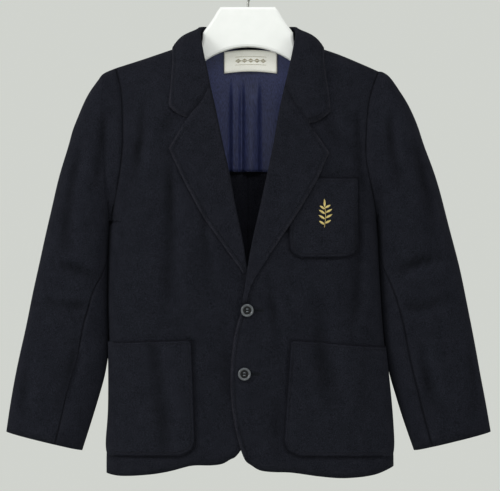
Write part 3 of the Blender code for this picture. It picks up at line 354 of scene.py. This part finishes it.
CUT_ANGLE = math.radians(55)  # an edge sharper than this is cut cloth
RIM_WIDTH = 3 * MM  # a face narrower than this, between two cut edges, is the wall's rim
SEAM_GROWTH = 0.25 * MM
FIT_ROUNDS = 3


def read_points(mesh, what="co"):
    """The places or normals of all vertices, as rows of an array."""
    values = np.empty(3 * len(mesh.vertices))
    if what == "co":
        mesh.vertices.foreach_get("co", values)
    else:
        mesh.vertex_normals.foreach_get("vector", values)
    return values.reshape(-1, 3)


def write_points(mesh, points):
    mesh.vertices.foreach_set("co", points.ravel())
    mesh.update()


def close_seams(shape, crease):
    """Moves the rim of a wall outward in its own surface."""
    rims = [face for face in shape.faces if sum(edge[crease] > 0 for edge in face.edges) >= 2
            and sorted(edge.calc_length() for edge in face.edges)[1] < RIM_WIDTH]
    moves = {}
    for face in rims:
        for vert in face.verts:
            moves.setdefault(vert, []).append(face.normal.copy())
    for vert, normals in moves.items():
        vert.co += SEAM_GROWTH * sum(normals, Vector()).normalized()


def fit_cage(piece, goal):
    """Moves the cage until its subdivided points lie on the goal's."""
    points = goal.copy()
    for _ in range(FIT_ROUNDS):
        write_points(piece.data, points)
        seen = piece.evaluated_get(bpy.context.evaluated_depsgraph_get())
        made = read_points(seen.data)[:len(goal)]
        points = points + (goal - made)
    write_points(piece.data, points)


def to_cloth(node):
    """A smooth cloth copy of a CAD wall, and the cut edges on its good side."""
    piece = copy_node(node)
    bpy.ops.object.mode_set(mode="EDIT")
    bpy.ops.mesh.select_all(action="SELECT")
    bpy.ops.mesh.tris_convert_to_quads(face_threshold=math.radians(50),
                                       shape_threshold=math.radians(100))
    bpy.ops.object.mode_set(mode="OBJECT")
    shape = bmesh.new()
    shape.from_mesh(piece.data)
    crease = shape.edges.layers.float.new("crease_edge")
    facing = outward_of(node)
    cut = []
    for edge in shape.edges:
        if len(edge.link_faces) == 2 and edge.calc_face_angle() > CUT_ANGLE:
            edge[crease] = 1.0
            wide = max(edge.link_faces, key=lambda face: face.calc_area())
            ends = [np.array(v.co) for v in edge.verts]
            if facing((ends[0] + ends[1]) / 2, np.array(wide.normal)) > 0:
                cut.append(ends)
    close_seams(shape, crease)
    shape.to_mesh(piece.data)
    shape.free()
    rounding = piece.modifiers.new("rounding", "SUBSURF")
    rounding.levels = rounding.render_levels = 2
    fit_cage(piece, read_points(piece.data))
    select_only(piece)
    bpy.ops.object.modifier_apply(modifier="rounding")
    piece.data.shade_smooth()
    return piece, np.array(cut)


WOOL_NODES = ["front_left", "front_right", "back_left", "back_right",
              "sleeve_top_left", "sleeve_top_right", "sleeve_under_left", "sleeve_under_right",
              "collar", "lapel_left", "lapel_right",
              "pocket_chest", "pocket_hip_left", "pocket_hip_right"]
pieces, cut_edges = {}, {}
for node in WOOL_NODES + ["lining_back", "label"]:
    pieces[node], cut_edges[node] = to_cloth(node)
print("cloth faces", {node: len(piece.data.polygons) for node, piece in pieces.items()})

# %% [markdown]
# Hanging wool falls in long soft folds, deeper where the hanger's arm and the buttons hold it.
# Each crease here is a line with a width and a depth in millimetres, pressed in by moving
# points along Y, with one raised shoulder beside it. Pocket, lapel and front share the same
# creases, so what lies on the cloth moves with it. The loose lining has its ease in two upright
# folds with flat tops and steep flanks.

# %% Creases of the body and the sleeves
# mm: from x, z to x, z, bow sideways, half width, depth
FRONT_CREASES = (
    (-112, -262, -116, -500, 4, 8, 2.4),
    (-150, -190, -172, -330, 6, 7, 2.5),
    (-63, -330, -52, -470, -3, 6, 1.5),
    (-140, -520, -120, -712, 5, 10, 2.2),
    (-38, -500, -30, -660, 3, 8, 1.4),
    (158, -200, 170, -345, -6, 7, 2.7),
    (156, -330, 150, -520, 5, 8, 2.7),
    (26, -440, 40, -560, 3, 6, 1.7),
    (100, -470, 118, -640, -5, 11, 2.1),
    (172, -480, 160, -650, 4, 8, 1.8),
    (40, -600, 36, -712, 3, 9, 1.4),
    (-90, -180, -130, -250, 5, 9, 1.5),
    (96, -180, 132, -262, -5, 9, 1.7),
)
BACK_CREASES = (
    (-128, -250, -132, -520, 6, 9, 2.8),
    (-60, -360, -72, -640, -5, 9, 2.2),
    (50, -330, 58, -600, 5, 9, 2.4),
    (134, -260, 140, -560, -6, 9, 2.8),
    (-150, -190, -172, -330, 6, 7, 2.4),
    (152, -195, 172, -330, -6, 7, 2.5),
    (-110, -560, -120, -700, 4, 10, 2.0),
    (100, -540, 112, -690, -4, 10, 2.1),
    (-60, -165, 55, -172, -6, 7, 1.4),
)
SLEEVE_CREASES = (
    (-205, -205, -222, -330, 5, 7, 2.4),
    (-236, -250, -262, -420, -6, 8, 2.7),
    (-288, -428, -214, -452, 6, 6, 2.8),
    (-296, -476, -222, -488, -5, 6, 2.4),
    (-240, -520, -276, -650, 5, 7, 2.0),
    (-310, -540, -322, -660, -4, 7, 1.7),
    (202, -205, 216, -325, -5, 7, 2.5),
    (232, -240, 262, -400, 6, 8, 2.7),
    (290, -420, 206, -446, -7, 6, 3.2),
    (298, -470, 216, -492, 6, 6, 2.5),
    (244, -530, 276, -652, -5, 7, 2.1),
    (312, -545, 324, -655, 4, 7, 1.7),
)
# mm: middle x, half width of the flat top, rise
LINING_FOLDS = (
    (-18.0, 3.5, 3.2),
    (5.0, 9.0, 4.6),
)
FOLD_FLANK = 5.5 * MM
LINING_TOP = -0.150  # the folds grow from here down


def crease_depth(x, z, creases):
    """How far the cloth is pressed in at each point, in metres."""
    total = np.zeros_like(x)
    for from_x, from_z, to_x, to_z, bow, width, depth in np.array(creases) * MM:
        run = np.array((to_x - from_x, to_z - from_z))
        length = np.linalg.norm(run)
        run /= length
        along = ((x - from_x) * run[0] + (z - from_z) * run[1]) / length
        bent = bow * 4 * along * (1 - along)
        across = (x - from_x) * -run[1] + (z - from_z) * run[0] - bent
        inside = np.clip(along, 0, 1)
        fade = np.sin(np.pi * inside) ** 0.8 * (1 + 0.25 * np.sin(9 * along + 400 * from_x))
        grow = 0.7 + 0.6 * inside
        trough = np.exp(-(across / (width * grow)) ** 2)
        shoulder = 0.4 * np.exp(-((across - 1.9 * width * grow) / (1.1 * width)) ** 2)
        total += depth * fade * (trough - shoulder)
    return total


def ease(value):
    t = np.clip(value, 0, 1)
    return t * t * (3 - 2 * t)


SIDE_FADE = (0.150, 0.188)  # the creases fade between these distances from the middle


def note_folds(piece, press):
    """Keeps how deep each point was pressed, in mm, for the painted shade in the cloth's colour."""
    piece.data.attributes.new("fold_mm", "FLOAT", "POINT").data.foreach_set("value", press / MM)


def press_body(piece, creases, way):
    """Presses creases into a piece of the body, along Y."""
    points = read_points(piece.data)
    fade = 1 - ease((np.abs(points[:, 0]) - SIDE_FADE[0]) / (SIDE_FADE[1] - SIDE_FADE[0]))
    press = crease_depth(points[:, 0], points[:, 2], creases) * fade
    points[:, 1] += way * press
    write_points(piece.data, points)
    note_folds(piece, press)
    return press


def raise_lining(piece):
    """Lifts the loose lining off the back in upright folds with flat tops."""
    points = read_points(piece.data)
    grow = ease((LINING_TOP - points[:, 2]) / 0.05)
    for middle, half, rise in np.array(LINING_FOLDS) * MM:
        flank = (np.abs(points[:, 0] - middle) - half) / FOLD_FLANK
        points[:, 1] -= rise * (1 - ease(flank)) * grow
    write_points(piece.data, points)


def press_sleeve(piece):
    """Presses creases into both faces of a sleeve, mirrored unevenly on its back."""
    points = read_points(piece.data)
    flat = np.abs(read_points(piece.data, "normal")[:, 1]) ** 1.5
    front = points[:, 1] < -0.002
    press = crease_depth(points[:, 0], points[:, 2], SLEEVE_CREASES)
    behind = 0.8 * crease_depth(points[:, 0], points[:, 2] - 0.012, SLEEVE_CREASES)
    top = ease((-0.165 - points[:, 2]) / 0.05)
    points[:, 1] += np.where(front, press, -behind) * flat * top
    write_points(piece.data, points)
    note_folds(piece, np.where(front, press, behind) * flat * top)
    return press


CLOSE_WITHIN = 2.6 * MM  # gaps between sleeve and body narrower than this are narrowed
CLOSE_BY = 1.4 * MM
TOUCH = 0.1 * MM


def lean_on_body(sleeve):
    """Where the sleeve hangs beside the body its cloth swells until it touches."""
    bodies = [pieces[node].data for node in pieces if node.startswith(("front", "back"))]
    corners, faces = [], []
    for mesh in bodies:
        faces += [[len(corners) + i for i in face.vertices] for face in mesh.polygons]
        corners += [v.co.copy() for v in mesh.vertices]
    tree = BVHTree.FromPolygons(corners, faces)
    points = read_points(sleeve.data)
    for k, point in enumerate(points):
        place, _, _, distance = tree.find_nearest(Vector(point), CLOSE_WITHIN)
        if place and distance > 1e-5:
            swell = CLOSE_BY * ease((CLOSE_WITHIN - distance) / CLOSE_WITHIN)
            points[k] += (np.array(place) - point) / distance * min(swell, distance + TOUCH)
    write_points(sleeve.data, points)


for node in WOOL_NODES:
    if node.startswith("sleeve"):
        deepest = press_sleeve(pieces[node])
    elif node == "collar":
        continue
    else:
        creases, way = (BACK_CREASES, -1) if node.startswith("back") else (FRONT_CREASES, 1)
        deepest = press_body(pieces[node], creases, way)
    print("creases", node, "up to %.1f mm" % (deepest.max() / MM))
for node in WOOL_NODES:
    if node.startswith("sleeve"):
        lean_on_body(pieces[node])
raise_lining(pieces["lining_back"])

# %% [markdown]
# ## Stitches
# Tailors run a row of stitches 5.5 mm inside the edges of collar, lapels, front and patch
# pockets. The distance to the cut edge is known at every point, so the row is the line where
# it is exactly 5.5 mm. It is walked face by face, then one small stitch is copied along it.

# %% Distance from the stitched edge
def distance_to(points, segments):
    """The distance from each point to the nearest segment."""
    nearest = np.full(len(points), 0.03)
    for start, end in segments:
        run = end - start
        t = np.clip((points - start) @ run / max(run @ run, 1e-12), 0, 1)
        nearest = np.minimum(nearest, np.linalg.norm(points - start - t[:, None] * run, axis=1))
    return nearest


# metres: which part of each piece's cut edge carries a row of stitches
STITCHED_EDGE = {
    "front_left": lambda p: p[2] < -0.486 and p[0] < 0.020,
    "front_right": lambda p: p[2] < -0.460 and p[0] > -0.040,
    "lapel_left": lambda p: p[0] > 0.092 or p[2] < -0.245 and p[0] > 0.012 + 0.44 * (p[2] + 0.46),
    "lapel_right": lambda p: p[0] < -0.090 or p[2] < -0.238 and p[0] < -0.010 - 0.44 * (p[2] + 0.44),
    "collar": lambda p: abs(p[0]) > 0.088 or p[1] > 0.030,
    "pocket_chest": lambda p: True,
    "pocket_hip_left": lambda p: p[0] < 0.195,
    "pocket_hip_right": lambda p: p[0] > -0.188,
}
# metres: a level cut edge below this is a hem or a cuff
HEM_TOP = {"front": -0.690, "back": -0.690, "sleeve": -0.600}
CUFF_SLOPE = 0.45  # a cuff's edge falls less than this, a sleeve's seam more


def is_hem(node, ends):
    """Whether a cut edge is part of a hem or a cuff."""
    kind = node.split("_")[0]
    run = np.abs(ends[1] - ends[0])
    level = kind != "sleeve" or run[2] < CUFF_SLOPE * run[0]
    return level and max(ends[0][2], ends[1][2]) < HEM_TOP.get(kind, -1)


FAR_FROM_EDGE = 30.0  # mm, for a piece that has no such edge


def mark_distance(node, name, chosen):
    """Stores the distance in mm from the chosen cut edges at every point of a piece."""
    points = read_points(pieces[node].data)
    mm = distance_to(points, chosen) / MM if len(chosen) else np.full(len(points), FAR_FROM_EDGE)
    pieces[node].data.attributes.new(name, "FLOAT", "POINT").data.foreach_set("value", mm)


for node in WOOL_NODES:
    stitched = STITCHED_EDGE.get(node, lambda p: False)
    sorted_edges = {"edge_mm": [], "hem_mm": [], "seam_mm": []}
    for ends in cut_edges[node]:
        if is_hem(node, ends):
            sorted_edges["hem_mm"].append(ends)
        elif stitched((ends[0] + ends[1]) / 2):
            sorted_edges["edge_mm"].append(ends)
        elif not node.startswith(("pocket", "collar", "lapel")):
            sorted_edges["seam_mm"].append(ends)
    for name, chosen in sorted_edges.items():
        mark_distance(node, name, chosen)
print("stitched edges", list(STITCHED_EDGE))

# %% [markdown]
# A stitch is a short thread that dips into the cloth at both ends: six corners round the middle
# and a point at each end. All the stitches of a row become one mesh.

# %% Trace a row and lay stitches on it
def edge_rows(node, level):
    """Lines on the good side of a piece where its distance from the edge is level, in order."""
    mesh = pieces[node].data
    points = read_points(pieces[node].data)
    mm = np.empty(len(points))
    mesh.attributes["edge_mm"].data.foreach_get("value", mm)
    facing = outward_of(node)
    links = {}
    places = {}
    for face in mesh.polygons:
        ring = list(face.vertices)
        values = mm[ring]
        if values.min() > level or values.max() <= level:
            continue
        if facing(np.array(face.center), np.array(face.normal)) <= 0.001:
            continue
        crossed = []
        for a, b in zip(ring, ring[1:] + ring[:1]):
            if (mm[a] > level) != (mm[b] > level):
                key = (min(a, b), max(a, b))
                share = (level - mm[a]) / (mm[b] - mm[a])
                places[key] = (points[a] + (points[b] - points[a]) * share, np.array(face.normal))
                crossed.append(key)
        if len(crossed) == 2:
            links.setdefault(crossed[0], []).append(crossed[1])
            links.setdefault(crossed[1], []).append(crossed[0])
    rows = []
    unused = set(links)
    while unused:
        ends = [key for key in unused if len(links[key]) == 1]
        key = min(ends) if ends else min(unused)
        row = []
        while key is not None:
            unused.discard(key)
            row.append(places[key])
            key = next((other for other in links[key] if other in unused), None)
        if len(row) > 6:
            rows.append(row)
    return rows


def spaced(row, pitch):
    """Points, directions and normals at even steps along a row."""
    points = np.array([place for place, _ in row])
    normals = np.array([normal for _, normal in row])
    lengths = np.concatenate(([0], np.cumsum(np.linalg.norm(np.diff(points, axis=0), axis=1))))
    wanted = np.arange(pitch / 2, lengths[-1], pitch)
    at, out = (np.stack([np.interp(wanted, lengths, values[:, k]) for k in range(3)], axis=1)
               for values in (points, normals))
    ahead = np.gradient(at, axis=0) if len(at) > 1 else np.array([[1.0, 0, 0]])
    ahead /= np.linalg.norm(ahead, axis=1, keepdims=True)
    return at, ahead, out / np.linalg.norm(out, axis=1, keepdims=True)


class Threads:
    """Collects short threads and makes one mesh of them."""

    EACH = 14  # points of one thread

    def __init__(self):
        self.points, self.faces = [], []

    def count(self):
        return len(self.points) // self.EACH

    def lay(self, middle, ahead, out, length, width, sunk=0.10):
        """One thread, half of it above the cloth."""
        ahead, out = np.asarray(ahead, float), np.asarray(out, float)
        ahead = ahead / np.linalg.norm(ahead)
        across = np.cross(ahead, out)
        across /= np.linalg.norm(across)
        out = np.cross(across, ahead)
        first = len(self.points)
        self.points.append(middle - ahead * length / 2 - out * width * sunk * 2)
        for shift in (-0.26, 0.26):
            for k in range(6):
                angle = math.pi * k / 3
                corner = across * math.cos(angle) / 2 + out * (math.sin(angle) / 2 + 0.5 - sunk)
                self.points.append(middle + ahead * length * shift + width * corner)
        self.points.append(middle + ahead * length / 2 - out * width * sunk * 2)
        for k in range(6):
            a, b = first + 1 + k, first + 1 + (k + 1) % 6
            self.faces += [(first, b, a), (a, b, b + 6, a + 6), (a + 6, b + 6, first + self.EACH - 1)]

    def piece(self, name, material):
        mesh = bpy.data.meshes.new(name)
        mesh.from_pydata([tuple(p) for p in self.points], [], self.faces)
        made = bpy.data.objects.new(name, mesh)
        bpy.context.scene.collection.objects.link(made)
        select_only(made)
        bpy.ops.object.mode_set(mode="EDIT")
        bpy.ops.mesh.select_all(action="SELECT")
        bpy.ops.mesh.normals_make_consistent(inside=False)
        bpy.ops.object.mode_set(mode="OBJECT")
        mesh.materials.append(material)
        mesh.shade_smooth()
        return made


STITCH_PITCH = 3.2 * MM
STITCH_LENGTH = 2.5 * MM
STITCH_WIDTH = 0.55 * MM
extras = {node: [] for node in pieces}
for node in STITCHED_EDGE:
    threads = Threads()
    for row in edge_rows(node, STITCH_INSET):
        for at, ahead, out in zip(*spaced(row, STITCH_PITCH)):
            threads.lay(at, ahead, out, STITCH_LENGTH, STITCH_WIDTH)
    if threads.points:
        extras[node].append(threads.piece(node + "_topstitch", THREAD))
    print("stitches", node, threads.count())

# %% [markdown]
# The label is sewn on along its edge. Its row of stitches is traced in the same way.

# %% Label edge
LABEL_INSET = 1.6  # mm from the label's edge to its stitches
mark_distance("label", "edge_mm", cut_edges["label"])
threads = Threads()
for row in edge_rows("label", LABEL_INSET):
    for at, ahead, out in zip(*spaced(row, 2.2 * MM)):
        threads.lay(at, ahead, out, 1.7 * MM, 0.4 * MM)
extras["label"].append(threads.piece("label_stitches", DAMASK))
print("label stitches", threads.count())

# %% [markdown]
# A woven label shows its design in floats of a second weft. This one has a plain row of
# lozenges in bronze between two fine lines, drawn as short upright floats side by side.

# %% Label design
LABEL_MIDDLE = (0.0040, -0.1375)
LOZENGES = 5
LOZENGE_WIDE = 9.0 * MM
LOZENGE_HIGH = 7.0 * MM
LEAST_HIGH = 0.12  # of a lozenge's height, where two of them meet
LINE_LIFT = 5.6 * MM  # from the middle of the row to each line
LINE_HIGH = 0.7 * MM
ARCH_RISE = 2.2 * MM  # the label bows up in the middle, over this half width
ARCH_HALF = 34.5 * MM
FLOAT_PITCH = 0.5 * MM
FLOAT_WIDTH = 0.42 * MM


def drop_on(node):
    """A function that gives the point and normal of a piece's front at x and z."""
    mesh = pieces[node].data
    tree = BVHTree.FromPolygons([v.co for v in mesh.vertices], [p.vertices for p in mesh.polygons])

    def land(x, z):
        place, normal, _, _ = tree.ray_cast(Vector((x, -0.3, z)), Vector((0, 1, 0)))
        return np.array(place), np.array(normal)

    return land


on_label = drop_on("label")
floats = Threads()
reach = LOZENGES * LOZENGE_WIDE / 2
for k in range(round(2 * reach / FLOAT_PITCH)):
    x = -reach + (k + 0.5) * FLOAT_PITCH
    within = (x + reach) % LOZENGE_WIDE / LOZENGE_WIDE
    high = LOZENGE_HIGH * max(1 - 2 * abs(within - 0.5), LEAST_HIGH)
    arch = ARCH_RISE * (1 - (x / ARCH_HALF) ** 2)
    lozenge = ((high / 4, high / 2), (-high / 4, high / 2))
    lines = ((LINE_LIFT, LINE_HIGH), (-LINE_LIFT, LINE_HIGH))
    for lift, length in lozenge + lines:
        at, normal = on_label(LABEL_MIDDLE[0] + x, LABEL_MIDDLE[1] + arch + lift)
        upright = np.cross(np.cross(normal, (0.0, 0.0, 1.0)), normal)
        floats.lay(at, upright, normal, length, FLOAT_WIDTH)
extras["label"].append(floats.piece("label_design", BRONZE))
print("label floats", floats.count())

# %% [markdown]
# ## Embroidery on the chest pocket
# The badge is satin stitch in gold thread: rows of threads laid side by side. The motif here is
# a plain sprig, a curved stem with paired leaves, about 37 mm high as the real badge is.

# %% Gold sprig
SPRIG_MIDDLE = (0.1080, -0.3610)
SPRIG_HEIGHT = 0.034
LEAVES = ((-0.36, 0.52), (-0.14, 0.60), (0.08, 0.58), (0.28, 0.48))  # place up the stem, length
STEM_STEPS = 16
SATIN_PITCH = 0.55 * MM
SATIN_WIDTH = 0.62 * MM
SHORTEST = 0.4 * MM
on_pocket = drop_on("pocket_chest")
threads = Threads()


def stem(t):
    """The sprig's stem, t from 0 at its foot to 1 at its tip."""
    return np.array((SPRIG_MIDDLE[0] + 0.0016 * math.sin(3.2 * t),
                     SPRIG_MIDDLE[1] + SPRIG_HEIGHT * (t - 0.5)))


def satin(start, end, width):
    """Threads side by side across a leaf from start to end."""
    run = end - start
    length = np.linalg.norm(run)
    run /= length
    side = np.array((-run[1], run[0]))
    count = max(4, round(length / SATIN_PITCH))
    for k in range(count):
        t = (k + 0.5) / count
        half = width * math.sin(math.pi * t ** 0.8) ** 0.8
        slant = run * 0.45 * half
        here = start + run * length * t
        left, normal = on_pocket(*(here + side * half - slant))
        right, _ = on_pocket(*(here - side * half + slant))
        reach = np.linalg.norm(right - left)
        if reach > SHORTEST:
            threads.lay((left + right) / 2, right - left, normal, reach, SATIN_WIDTH, sunk=0.05)


for k in range(STEM_STEPS):
    low, high = stem(k / STEM_STEPS), stem((k + 1) / STEM_STEPS)
    a, normal = on_pocket(*low)
    b, _ = on_pocket(*high)
    threads.lay((a + b) / 2, b - a, normal, 1.15 * np.linalg.norm(b - a), 0.8 * MM, sunk=0.05)
for place, long in LEAVES:
    for side in (-1, 1):
        root = stem(place + 0.5 + 0.02 * side)
        tip = root + SPRIG_HEIGHT * long * 0.55 * np.array((side * 0.86, 0.52))
        satin(root + (tip - root) * 0.08, tip, 2.0 * MM)
satin(stem(0.86), stem(1.0) + (0.0, 0.0065), 1.9 * MM)
extras["pocket_chest"].append(threads.piece("pocket_chest_sprig", GOLD))
print("gold threads", threads.count())

# %% [markdown]
# ## Buttonholes
# A jacket's buttonhole is a slit with a round eye at the front end, bound all round by threads
# laid at right angles to it. Most of it hides under the button; its inner end shows.

# %% Bound buttonholes
BUTTON_PLACES = {"button_top": (-0.0010, -0.4950), "button_bottom": (-0.0050, -0.5850)}
HOLE_START = 0.004  # from the button's middle
HOLE_REACH = 0.0215
HOLE_LIP = 1.15 * MM  # from the slit's middle to the threads on each side
HOLE_PAIRS = 30
HOLE_THREAD = (2.1 * MM, 0.55 * MM)  # length, width
EYE_THREADS = 9
on_front = drop_on("front_left")
holes = Threads()
for name, (x, z) in BUTTON_PLACES.items():
    for k in range(HOLE_PAIRS):
        along = x + HOLE_START + (HOLE_REACH - HOLE_START) * k / (HOLE_PAIRS - 1)
        for side in (-1, 1):
            at, normal = on_front(along, z + side * HOLE_LIP)
            holes.lay(at, (0.0, 0.0, 1.0), normal, *HOLE_THREAD, sunk=0.0)
    for k in range(EYE_THREADS):
        angle = math.radians(-80 + 20 * k)
        outward = np.array((math.cos(angle), 0.0, math.sin(angle)))
        at, normal = on_front(x + HOLE_REACH + 1.1 * MM * outward[0], z + HOLE_LIP * outward[2])
        holes.lay(at, outward, normal, *HOLE_THREAD, sunk=0.0)
extras["front_left"].append(holes.piece("front_left_buttonholes", TWIST))
print("buttonhole threads", holes.count())

# %% [markdown]
# ## Buttons
# A four-hole button is a disc with a raised rim round a dished face. A cylinder is inset and
# pushed down for the dish, its rims are bevelled, and four holes are cut right through.

# %% Turned button
BUTTON_RADIUS = 9.0 * MM
BUTTON_HEIGHT = 4.0 * MM
BUTTON_MIDDLE = 1.9 * MM  # from the back of the node's box to the disc's middle
DISC_SHARE = 0.72  # of the height, before the rim and the back are raised
HOLE_RADIUS = 1.0 * MM
HOLE_SPACING = 3.6 * MM
DISH_RADIUS = 5.9 * MM
DISH_SINK = 0.5 * MM  # from the disc's face to the thread that lies in the dish


def select_faces(mesh, wanted):
    """Selects the faces that a test of centre and normal picks, in edit mode."""
    shape = bmesh.from_edit_mesh(mesh)
    for part in (*shape.verts, *shape.edges, *shape.faces):
        part.select = False
    for face in shape.faces:
        if wanted(face.calc_center_median(), face.normal):
            face.select = True
    shape.select_flush_mode()
    bmesh.update_edit_mesh(mesh)


def turned_button(name, node):
    low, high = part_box(node)
    middle = (low + high) / 2
    select_none()
    bpy.ops.mesh.primitive_cylinder_add(vertices=40, radius=BUTTON_RADIUS,
                                        depth=BUTTON_HEIGHT * DISC_SHARE,
                                        end_fill_type="NGON", rotation=(math.pi / 2, 0, 0),
                                        location=(middle[0], high[1] - BUTTON_MIDDLE, middle[2]))
    button = bpy.context.active_object
    button.name = name
    select_only(button)
    bpy.ops.object.transform_apply(location=True, rotation=True, scale=True)
    bpy.ops.object.mode_set(mode="EDIT")
    select_faces(button.data, lambda place, normal: normal.y < -0.9)
    # The rim rises 0.75 mm, is 1.1 mm wide on top, and falls 1.15 mm into the dish
    bpy.ops.mesh.inset(thickness=0.7 * MM)
    bpy.ops.transform.translate(value=(0, -0.75 * MM, 0))
    bpy.ops.mesh.inset(thickness=1.1 * MM)
    bpy.ops.mesh.inset(thickness=0.9 * MM)
    bpy.ops.transform.translate(value=(0, 1.15 * MM, 0))
    bpy.ops.mesh.inset(thickness=1.2 * MM)
    # The back swells by 0.5 mm
    select_faces(button.data, lambda place, normal: normal.y > 0.9)
    bpy.ops.mesh.inset(thickness=1.6 * MM)
    bpy.ops.transform.translate(value=(0, 0.5 * MM, 0))
    bpy.ops.object.mode_set(mode="OBJECT")
    finish_modifier(button, "BEVEL", width=0.35 * MM, segments=3, limit_method="ANGLE",
                    angle_limit=math.radians(28))
    for dx in (-1, 1):
        for dz in (-1, 1):
            place = Vector(middle) + HOLE_SPACING / 2 * Vector((dx, 0, dz))
            bpy.ops.mesh.primitive_cylinder_add(vertices=16, radius=HOLE_RADIUS, depth=0.02,
                                                location=place, rotation=(math.pi / 2, 0, 0))
            cutter = bpy.context.active_object
            finish_modifier(button, "BOOLEAN", object=cutter, operation="DIFFERENCE", solver="EXACT")
            bpy.data.objects.remove(cutter, do_unlink=True)
    select_only(button)
    bpy.ops.object.shade_smooth_by_angle(angle=math.radians(35))
    button.data.materials.clear()
    button.data.materials.append(POLYESTER)
    button.data.materials.append(POLYESTER_DISH_SHADE)
    # Faces inside the dish take the dark material: painted shade.
    for face in button.data.polygons:
        out = math.hypot(face.center.x - middle[0], face.center.z - middle[2])
        face.material_index = 1 if out < DISH_RADIUS and face.center.y < middle[1] else 0
    return button


buttons = {}
for name in ("button_top", "button_bottom"):
    buttons[name] = turned_button(name + "_turned", name)
    low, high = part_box(name)
    middle = (low + high) / 2
    thread_y = high[1] - BUTTON_MIDDLE - BUTTON_HEIGHT * DISC_SHARE / 2 + DISH_SINK
    sewn = Threads()
    for dz in (-1, 1):
        for lift in (0.0, 0.35):
            at = np.array((middle[0], thread_y, middle[2] + dz * HOLE_SPACING / 2 + lift * MM))
            sewn.lay(at, (1.0, 0.0, 0.0), (0.0, -1.0, 0.0), HOLE_SPACING + 0.6 * MM, 0.5 * MM)
    extras.setdefault(name, []).append(sewn.piece(name + "_thread", SHANK_THREAD))
print("buttons", {name: len(piece.data.polygons) for name, piece in buttons.items()})

# %% [markdown]
# ## Hanger
# The hanger's plate and the wire are already their true shape in the CAD. Merged copies are
# shaded smooth up to a sharp angle, so the moulded edge catches one soft line of light.

# %% Hanger and hook
for node, material, smooth in (("hanger_body", POLYSTYRENE, 20), ("hanger_hook", NICKEL, 50)):
    pieces[node] = copy_node(node)
    select_only(pieces[node])
    bpy.ops.object.shade_smooth_by_angle(angle=math.radians(smooth))
    pieces[node].data.materials.append(material)
print("hanger faces", len(pieces["hanger_body"].data.polygons))

# %% [markdown]
# ## Give every piece its finish and its body
# Everything rides on the one body. The table gives, for each kind of cloth piece, the size of the flat
# piece it was cut from, without its seam allowance, and how much of that rectangle the cut fills.
# Milled wool hardly stretches, so a finished piece keeps the area of its cut. The sizes are a tailor's
# usual ones for a blazer like this, and the shares were set with the finished areas known, so the ratio
# of the two areas is near 1 by choice and proves no pattern. Each piece's area is summed and its row of
# the table looked up, and no more is done with them.

# %% Finish and ride
FINISH = {"lining_back": SATEEN, "label": DAMASK}
# mm wide, mm long, share of that rectangle which the cut fills
CUTS = {
    "front": (245, 640, 0.74),
    "back": (228, 650, 0.82),
    "sleeve_top": (205, 590, 0.70),
    "sleeve_under": (120, 520, 0.72),
    "collar": (430, 85, 0.88),
    "lapel": (85, 310, 0.58),
    "pocket_chest": (105, 118, 0.97),
    "pocket_hip": (150, 168, 0.97),
    "lining_back": (232, 190, 0.97),
    "label": (76, 33, 1.00),
}
areas = {}
for node, piece in pieces.items():
    if not node.startswith("hanger"):
        piece.data.materials.append(FINISH.get(node, POCKET_FLANNEL if "pocket" in node else FLANNEL))
        shape = bmesh.new()
        shape.from_mesh(piece.data)
        areas[node] = sum(face.calc_area() for face in shape.faces) / 2
        shape.free()
    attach(piece, "root")
    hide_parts(node)
for node, piece in buttons.items():
    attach(piece, "root")
    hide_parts(node)
for made in extras.values():
    for piece in made:
        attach(piece, "root")
for node, area in areas.items():
    cut = node.removesuffix("_left").removesuffix("_right")
    width, length, share = CUTS[cut]

# %% [markdown]
# ## Studio
# The photograph is lit softly from all round, a little more from above and from the wearer's
# right. A pale surround gives the soft light, a painted floor lies below, and three broad lamps
# graze the folds so that they show.

# %% Floor, surround, lights and camera
PAINT = moulded("painted_studio_floor", "#dfe1dc", "#e7e8e4", 6.0, 0.02, Roughness=0.85)
select_none()
bpy.ops.mesh.primitive_plane_add(size=3.0, location=(0, 0, -1.0))
floor = bpy.context.active_object
floor.name = "studio_floor"
floor.data.materials.append(PAINT)

world = bpy.data.worlds.new("studio")
bpy.context.scene.world = world
world.use_nodes = True
world.node_tree.nodes["Background"].inputs["Color"].default_value = linear("#e6e9e3")
world.node_tree.nodes["Background"].inputs["Strength"].default_value = 0.80


def lamp(name, place, aim, size, power):
    light = bpy.data.lights.new(name, "AREA")
    light.shape = "RECTANGLE"
    light.size, light.size_y = size
    light.energy = power
    made = bpy.data.objects.new(name, light)
    bpy.context.scene.collection.objects.link(made)
    made.location = place
    made.rotation_euler = (Vector(aim) - Vector(place)).to_track_quat("-Z", "Y").to_euler()


MIDDLE = (0.0, 0.0, -0.40)
lamp("lamp_left", (-2.0, -1.1, 0.3), MIDDLE, (0.7, 1.1), 32)
lamp("lamp_right", (2.1, -1.6, 0.0), MIDDLE, (0.9, 1.4), 12)
lamp("lamp_above", (0.2, -1.7, 1.2), MIDDLE, (1.4, 0.7), 16)

CAMERA_DISTANCE = 2.4
FRAME_WIDTH = 0.720  # metres that the picture's 500 pixels span at the hanger
FRAME_MIDDLE = (0.0029, -0.4035)  # x and z that the picture's middle shows
camera = bpy.data.cameras.new("camera")
camera.sensor_width = 36
camera.lens = 36 * CAMERA_DISTANCE / FRAME_WIDTH
view = bpy.data.objects.new("camera", camera)
bpy.context.scene.collection.objects.link(view)
view.location = (FRAME_MIDDLE[0], -CAMERA_DISTANCE, FRAME_MIDDLE[1])
view.rotation_euler = (math.pi / 2, 0, 0)
bpy.context.scene.camera = view
bpy.context.scene.view_settings.view_transform = "Standard"
